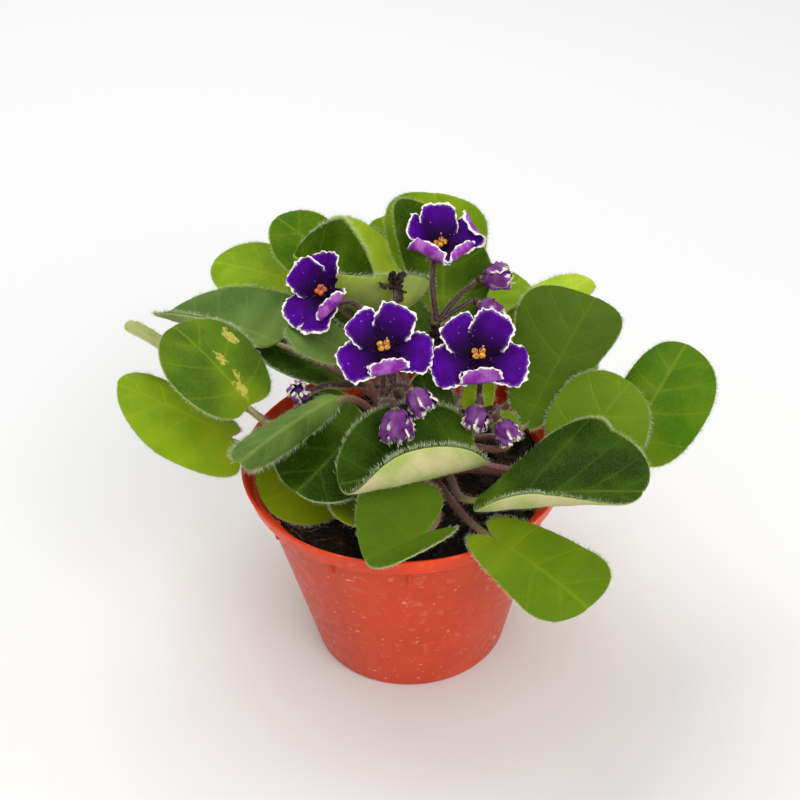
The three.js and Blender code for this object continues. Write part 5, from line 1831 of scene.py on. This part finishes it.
def pillow(radii: Vec) -> Shell:
    """Return a box with well rounded edges: an ellipsoid with its sines and cosines to a power."""
    power = 0.35

    def bowed(values: Array) -> Array:
        """Return values drawn out towards -1 and 1."""
        return np.sign(values) * np.abs(values) ** power

    down, about = np.linspace(0, math.pi, 17)[:, None], evenly(24)[None]
    out = bowed(np.sin(down))
    x, y, z = out * bowed(np.cos(about)), out * bowed(np.sin(about)), bowed(-np.cos(down)) + 0 * about
    return wrapped(np.stack([x, y, z], axis=-1) * np.asarray(radii))


@dataclass(frozen=True)
class Soil:
    """The peat that fills the pot: a plug with a rough top, crumbs, fibres and dry root ends.

    Attributes:
        top_z: the height of its top, in mm.
        bottom_z: the height of its underside.
        gap: how far it keeps from the wall.
        relief: how rough its top is.
        crumbs: how many loose crumbs lie on it.
        fibres: how many fibres stick out of it.
        roots: how many dry root ends lie near the wall.
        reach: how far from the middle fibres and roots go.
    """

    top_z: float = 80.0
    bottom_z: float = 1.9
    gap: float = 0.45
    relief: float = 1.0
    crumbs: int = 1700
    fibres: int = 110
    roots: int = 36
    reach: float = 56.0

    def top(self, places: Array) -> Array:
        """Return the height of the top at places x, y: noise of three lump sizes."""
        flat = places * (1, 1, 0)
        relief = 0.6 * lumps(flat, 9, 3) + 0.45 * lumps(flat, 3, 4) + 0.25 * lumps(flat, 1.3, 5)
        return self.top_z + self.relief * relief

    def build(self, pot: Pot, seed: int) -> None:
        """Build the plug, then strew crumbs, fibres and dry roots over it."""
        rng = np.random.default_rng(seed)
        brim = pot.inner_radius(self.top_z) - self.gap
        base = pot.inner_radius(self.bottom_z) - self.gap
        profile = np.vstack([
            [(0, self.bottom_z), (0.5 * base, self.bottom_z)],
            np.linspace((base, self.bottom_z), (brim, self.top_z), 14),
            np.linspace((brim, self.top_z), (0, self.top_z), 60)[1:],
        ])
        grid = swept(profile, evenly(180))
        grid[15:, :, 2] = self.top(grid[15:])
        shells = [wrapped(grid)]

        around = rng.uniform(0, 2 * math.pi, self.crumbs)
        out = brim * np.sqrt(rng.uniform(0, 0.985, self.crumbs))
        size = 0.35 + 1.5 * rng.uniform(size=self.crumbs) ** 3
        places = np.stack([out * np.cos(around), out * np.sin(around), np.zeros(self.crumbs)], axis=1)
        places *= np.minimum(1, (brim - size * 1.3) / np.maximum(out, 1))[:, None]
        places[:, 2] = self.top(places) + 0.35 * size
        shells.append(self.strewn(places, size, rng))
        for _ in range(self.fibres):
            start = rng.uniform(-1, 1, 3) * (0.68 * brim, 0.68 * brim, 0)
            bearing = rng.uniform(0, 2 * math.pi)
            shells.append(self.fibre(start, bearing, rng.uniform(4, 12), 0.16, rng))
        for _ in range(self.roots):
            bearing = math.radians(rng.normal(208, 9))
            way = np.array([math.cos(bearing), math.sin(bearing), 0])
            start = way * rng.uniform(brim - 7, brim - 1.5)
            heading = bearing + rng.normal(1.6, 0.7)
            shells.append(self.fibre(start, heading, rng.uniform(5, 11), 0.3, rng, 1))
        finishes = [PeatFinish("peat"), GrainFinish("dry_root", 0x5E4A38, 0x2E2119, 1.5, 0.2, 0.8)]
        put("soil_peat", shells, finishes, ["soil"])

    def strewn(self, places: Array, size: Array, rng: Draw) -> Shell:
        """Return crumbs of twenty faces each, every one with its own lumps and turn."""
        golden = (1 + math.sqrt(5)) / 2
        corner = np.array([
            (-1, golden, 0), (1, golden, 0), (-1, -golden, 0), (1, -golden, 0),
            (0, -1, golden), (0, 1, golden), (0, -1, -golden), (0, 1, -golden),
            (golden, 0, -1), (golden, 0, 1), (-golden, 0, -1), (-golden, 0, 1),
        ]) / math.hypot(1, golden)
        face = np.array([
            (0, 11, 5), (0, 5, 1), (0, 1, 7), (0, 7, 10), (0, 10, 11), (1, 5, 9), (5, 11, 4),
            (11, 10, 2), (10, 7, 6), (7, 1, 8), (3, 9, 4), (3, 4, 2), (3, 2, 6), (3, 6, 8),
            (3, 8, 9), (4, 9, 5), (2, 4, 11), (6, 2, 10), (8, 6, 7), (9, 8, 1),
        ])
        count = len(places)
        swell = rng.uniform(0.7, 1.25, (count, 12, 1))
        squeeze = rng.uniform(0.6, 1.2, (count, 1, 3))
        turn = np.linalg.qr(rng.normal(size=(count, 3, 3)))[0]
        turn = turn * np.sign(np.linalg.det(turn))[:, None, None]
        points = np.einsum("nij,nkj->nki", turn, corner[None] * swell * squeeze)
        points = points * size[:, None, None] * (1, 1, 0.8)
        faces = (face[None] + 12 * np.arange(count)[:, None, None]).reshape(-1, 3)
        return Shell((points + places[:, None]).reshape(-1, 3), [faces]).outward()

    def fibre(self, start: Array, bearing: float, length: float, radius: float,
              rng: Draw, slot: int = 0) -> Shell:
        """Return one bent fibre that lies on the peat with its ends in it.

        Args:
            start: where it starts, in mm.
            bearing: which way it sets out, in radians.
            length: how long it is.
            radius: how thick it is.
            rng: the draw of its bends.
            slot: which of the piece's materials it wears.

        Returns:
            The fibre.
        """
        steps = bearing + np.cumsum(rng.normal(0, 0.45, 7))
        ways = np.stack([np.cos(steps), np.sin(steps), 0 * steps], 1)
        path = start + np.cumsum(ways * length / 7, axis=0)
        arch = np.sin(np.linspace(-0.4, math.pi + 0.4, 7)) * rng.uniform(0.3, 1.6)
        path[:, 2] = self.top(path) + radius + arch
        reach = np.linalg.norm(path[:, :2], axis=1, keepdims=True)
        path[:, :2] *= np.minimum(1, self.reach / np.maximum(reach, 1))
        return tube(even(path, 9), radius * np.linspace(1, 0.5, 9), 5, slot=slot)


# ---------------------------------------------------------------- studio


def stood(name: str, data: bpy.types.ID, axes: Sequence[Array],
          place: Array | Vec) -> bpy.types.Object:
    """Return a new object of the scene that stands at a place, in metres, along three axes."""
    thing = bpy.data.objects.new(name, data)
    matrix = np.eye(4)
    matrix[:3, :3] = np.stack(axes, axis=1)
    matrix[:3, 3] = place
    thing.matrix_world = Matrix(matrix.tolist())
    bpy.context.scene.collection.objects.link(thing)
    return thing


@dataclass(frozen=True)
class Studio:
    """A pale floor, a soft window behind, a wide soft light in front, and the photo's camera.

    Attributes:
        aim: the point that the camera looks near, in mm.
        distance: how far off the camera stands, in mm.
        rise: its angle above the horizon, in degrees.
        pan: how far it is turned to the right of the aim.
        tilt: how far it is turned up from it.
        roll: how far it is rolled.
        lens: its focal length in mm, on a 36 mm sensor.
        middle: the point that the lamps face, in metres.
        white: the colour of the window's and the sky's light.
        half_floor: half the floor's side, in metres.
    """

    aim: Vec = (0.0, 0.0, 60.0)
    distance: float = 618.9
    rise: float = 39.79
    pan: float = -0.09
    tilt: float = 4.26
    roll: float = -2.44
    lens: float = 67.5
    middle: Vec = (0.0, 0.0, 0.11)
    white: Vec = (1.0, 0.985, 0.96)
    half_floor: float = 6.0

    def camera(self) -> None:
        """Stand the camera where the photo was taken from."""
        rise = math.radians(self.rise)
        back = np.array([0.0, -math.cos(rise), math.sin(rise)])
        right = np.array([1.0, 0.0, 0.0])
        aside, above = (math.tan(math.radians(angle)) for angle in (self.pan, self.tilt))
        look = unit(-back + aside * right + above * np.cross(back, right))
        side = turned(unit(np.cross(look, UP)), -look, self.roll)
        lens = bpy.data.cameras.new("camera")
        lens.lens, lens.sensor_width = self.lens, 36.0
        lens.clip_start, lens.clip_end = 0.01, 20.0
        place = (np.asarray(self.aim) + self.distance * back) * MM
        bpy.context.scene.camera = stood("camera", lens, (side, np.cross(side, look), -look), place)

    def lamp(self, name: str, place: Vec, size: float, power: float, tint: Vec) -> None:
        """Hang one square area light that faces the middle.

        Args:
            name: the lamp's name.
            place: where it hangs, in metres.
            size: its side, in metres.
            power: its power in watts.
            tint: its colour.
        """
        light = bpy.data.lights.new(name, "AREA")
        light.size, light.energy, light.color = size, power, tint
        back = unit(np.subtract(place, self.middle))
        side = unit(np.cross(UP, back))
        stood(name, light, (side, np.cross(back, side), back), place)

    def floor(self) -> None:
        """Lay a wide pale floor under the pot's foot."""
        mesh, far = bpy.data.meshes.new("studio_floor"), self.half_floor
        corners = [(-far, -far, 0), (far, -far, 0), (far, far, 0), (-far, far, 0)]
        mesh.from_pydata(corners, [], [(0, 1, 2, 3)])
        mesh.materials.append(FloorFinish("studio_floor").material())
        floor = bpy.data.objects.new("studio_floor", mesh)
        bpy.context.scene.collection.objects.link(floor)

    def build(self) -> None:
        """Set up camera, lights, floor and sky."""
        self.camera()
        self.floor()
        self.lamp("sky_window", (-0.32, 0.68, 1.4), 1.1, 13.0, self.white)
        self.lamp("front_fill", (0.6, -1.2, 1.25), 1.4, 22.0, (1.0, 0.99, 0.97))
        world = bpy.data.worlds.new("studio_sky")
        world.use_nodes = True
        sky = world.node_tree.nodes["Background"]
        sky.inputs[0].default_value = (*self.white, 1.0)
        sky.inputs[1].default_value = 0.62
        scene = bpy.context.scene
        scene.world = world
        scene.view_settings.view_transform = "Standard"


# ---------------------------------------------------------------- the plant


# Where each piece's random draws start. Pairs are the first spray's and the step to the next.
SOIL_SEED, LEAF_SEED = 21, 100
SPRAY_SEEDS, BLOOM_SEEDS, BUD_SEEDS = (300, 20), (500, 50), (700, 10)


def main() -> None:
    """Build pot, peat, crown, leaves and sprays in order, then the studio."""
    logging.basicConfig(level=logging.INFO, format="%(name)s: %(message)s")
    pot, soil, crown = Pot(), Soil(), Crown()
    pot.build()
    log.info("pot")
    soil.build(pot, SOIL_SEED)
    log.info("soil")
    crown.build()
    log.info("crown")
    for seed, leaf in enumerate(LEAVES, LEAF_SEED):
        leaf.build(crown, seed)
        log.info("leaf %s", leaf.name)
    for number, spray in enumerate(SPRAYS):
        own, bloom, first_bud = (
            start + step * number for start, step in (SPRAY_SEEDS, BLOOM_SEEDS, BUD_SEEDS)
        )
        spray.build(own)
        spray.bloom.build(bloom)
        log.info("spray %s with %s", spray.name, spray.bloom.name)
        for seed, (bud, _) in enumerate(spray.buds, first_bud):
            bud.build(seed)
            log.info("bud %s", bud.name)
    Studio().build()


if __name__ == "__main__":
    main()
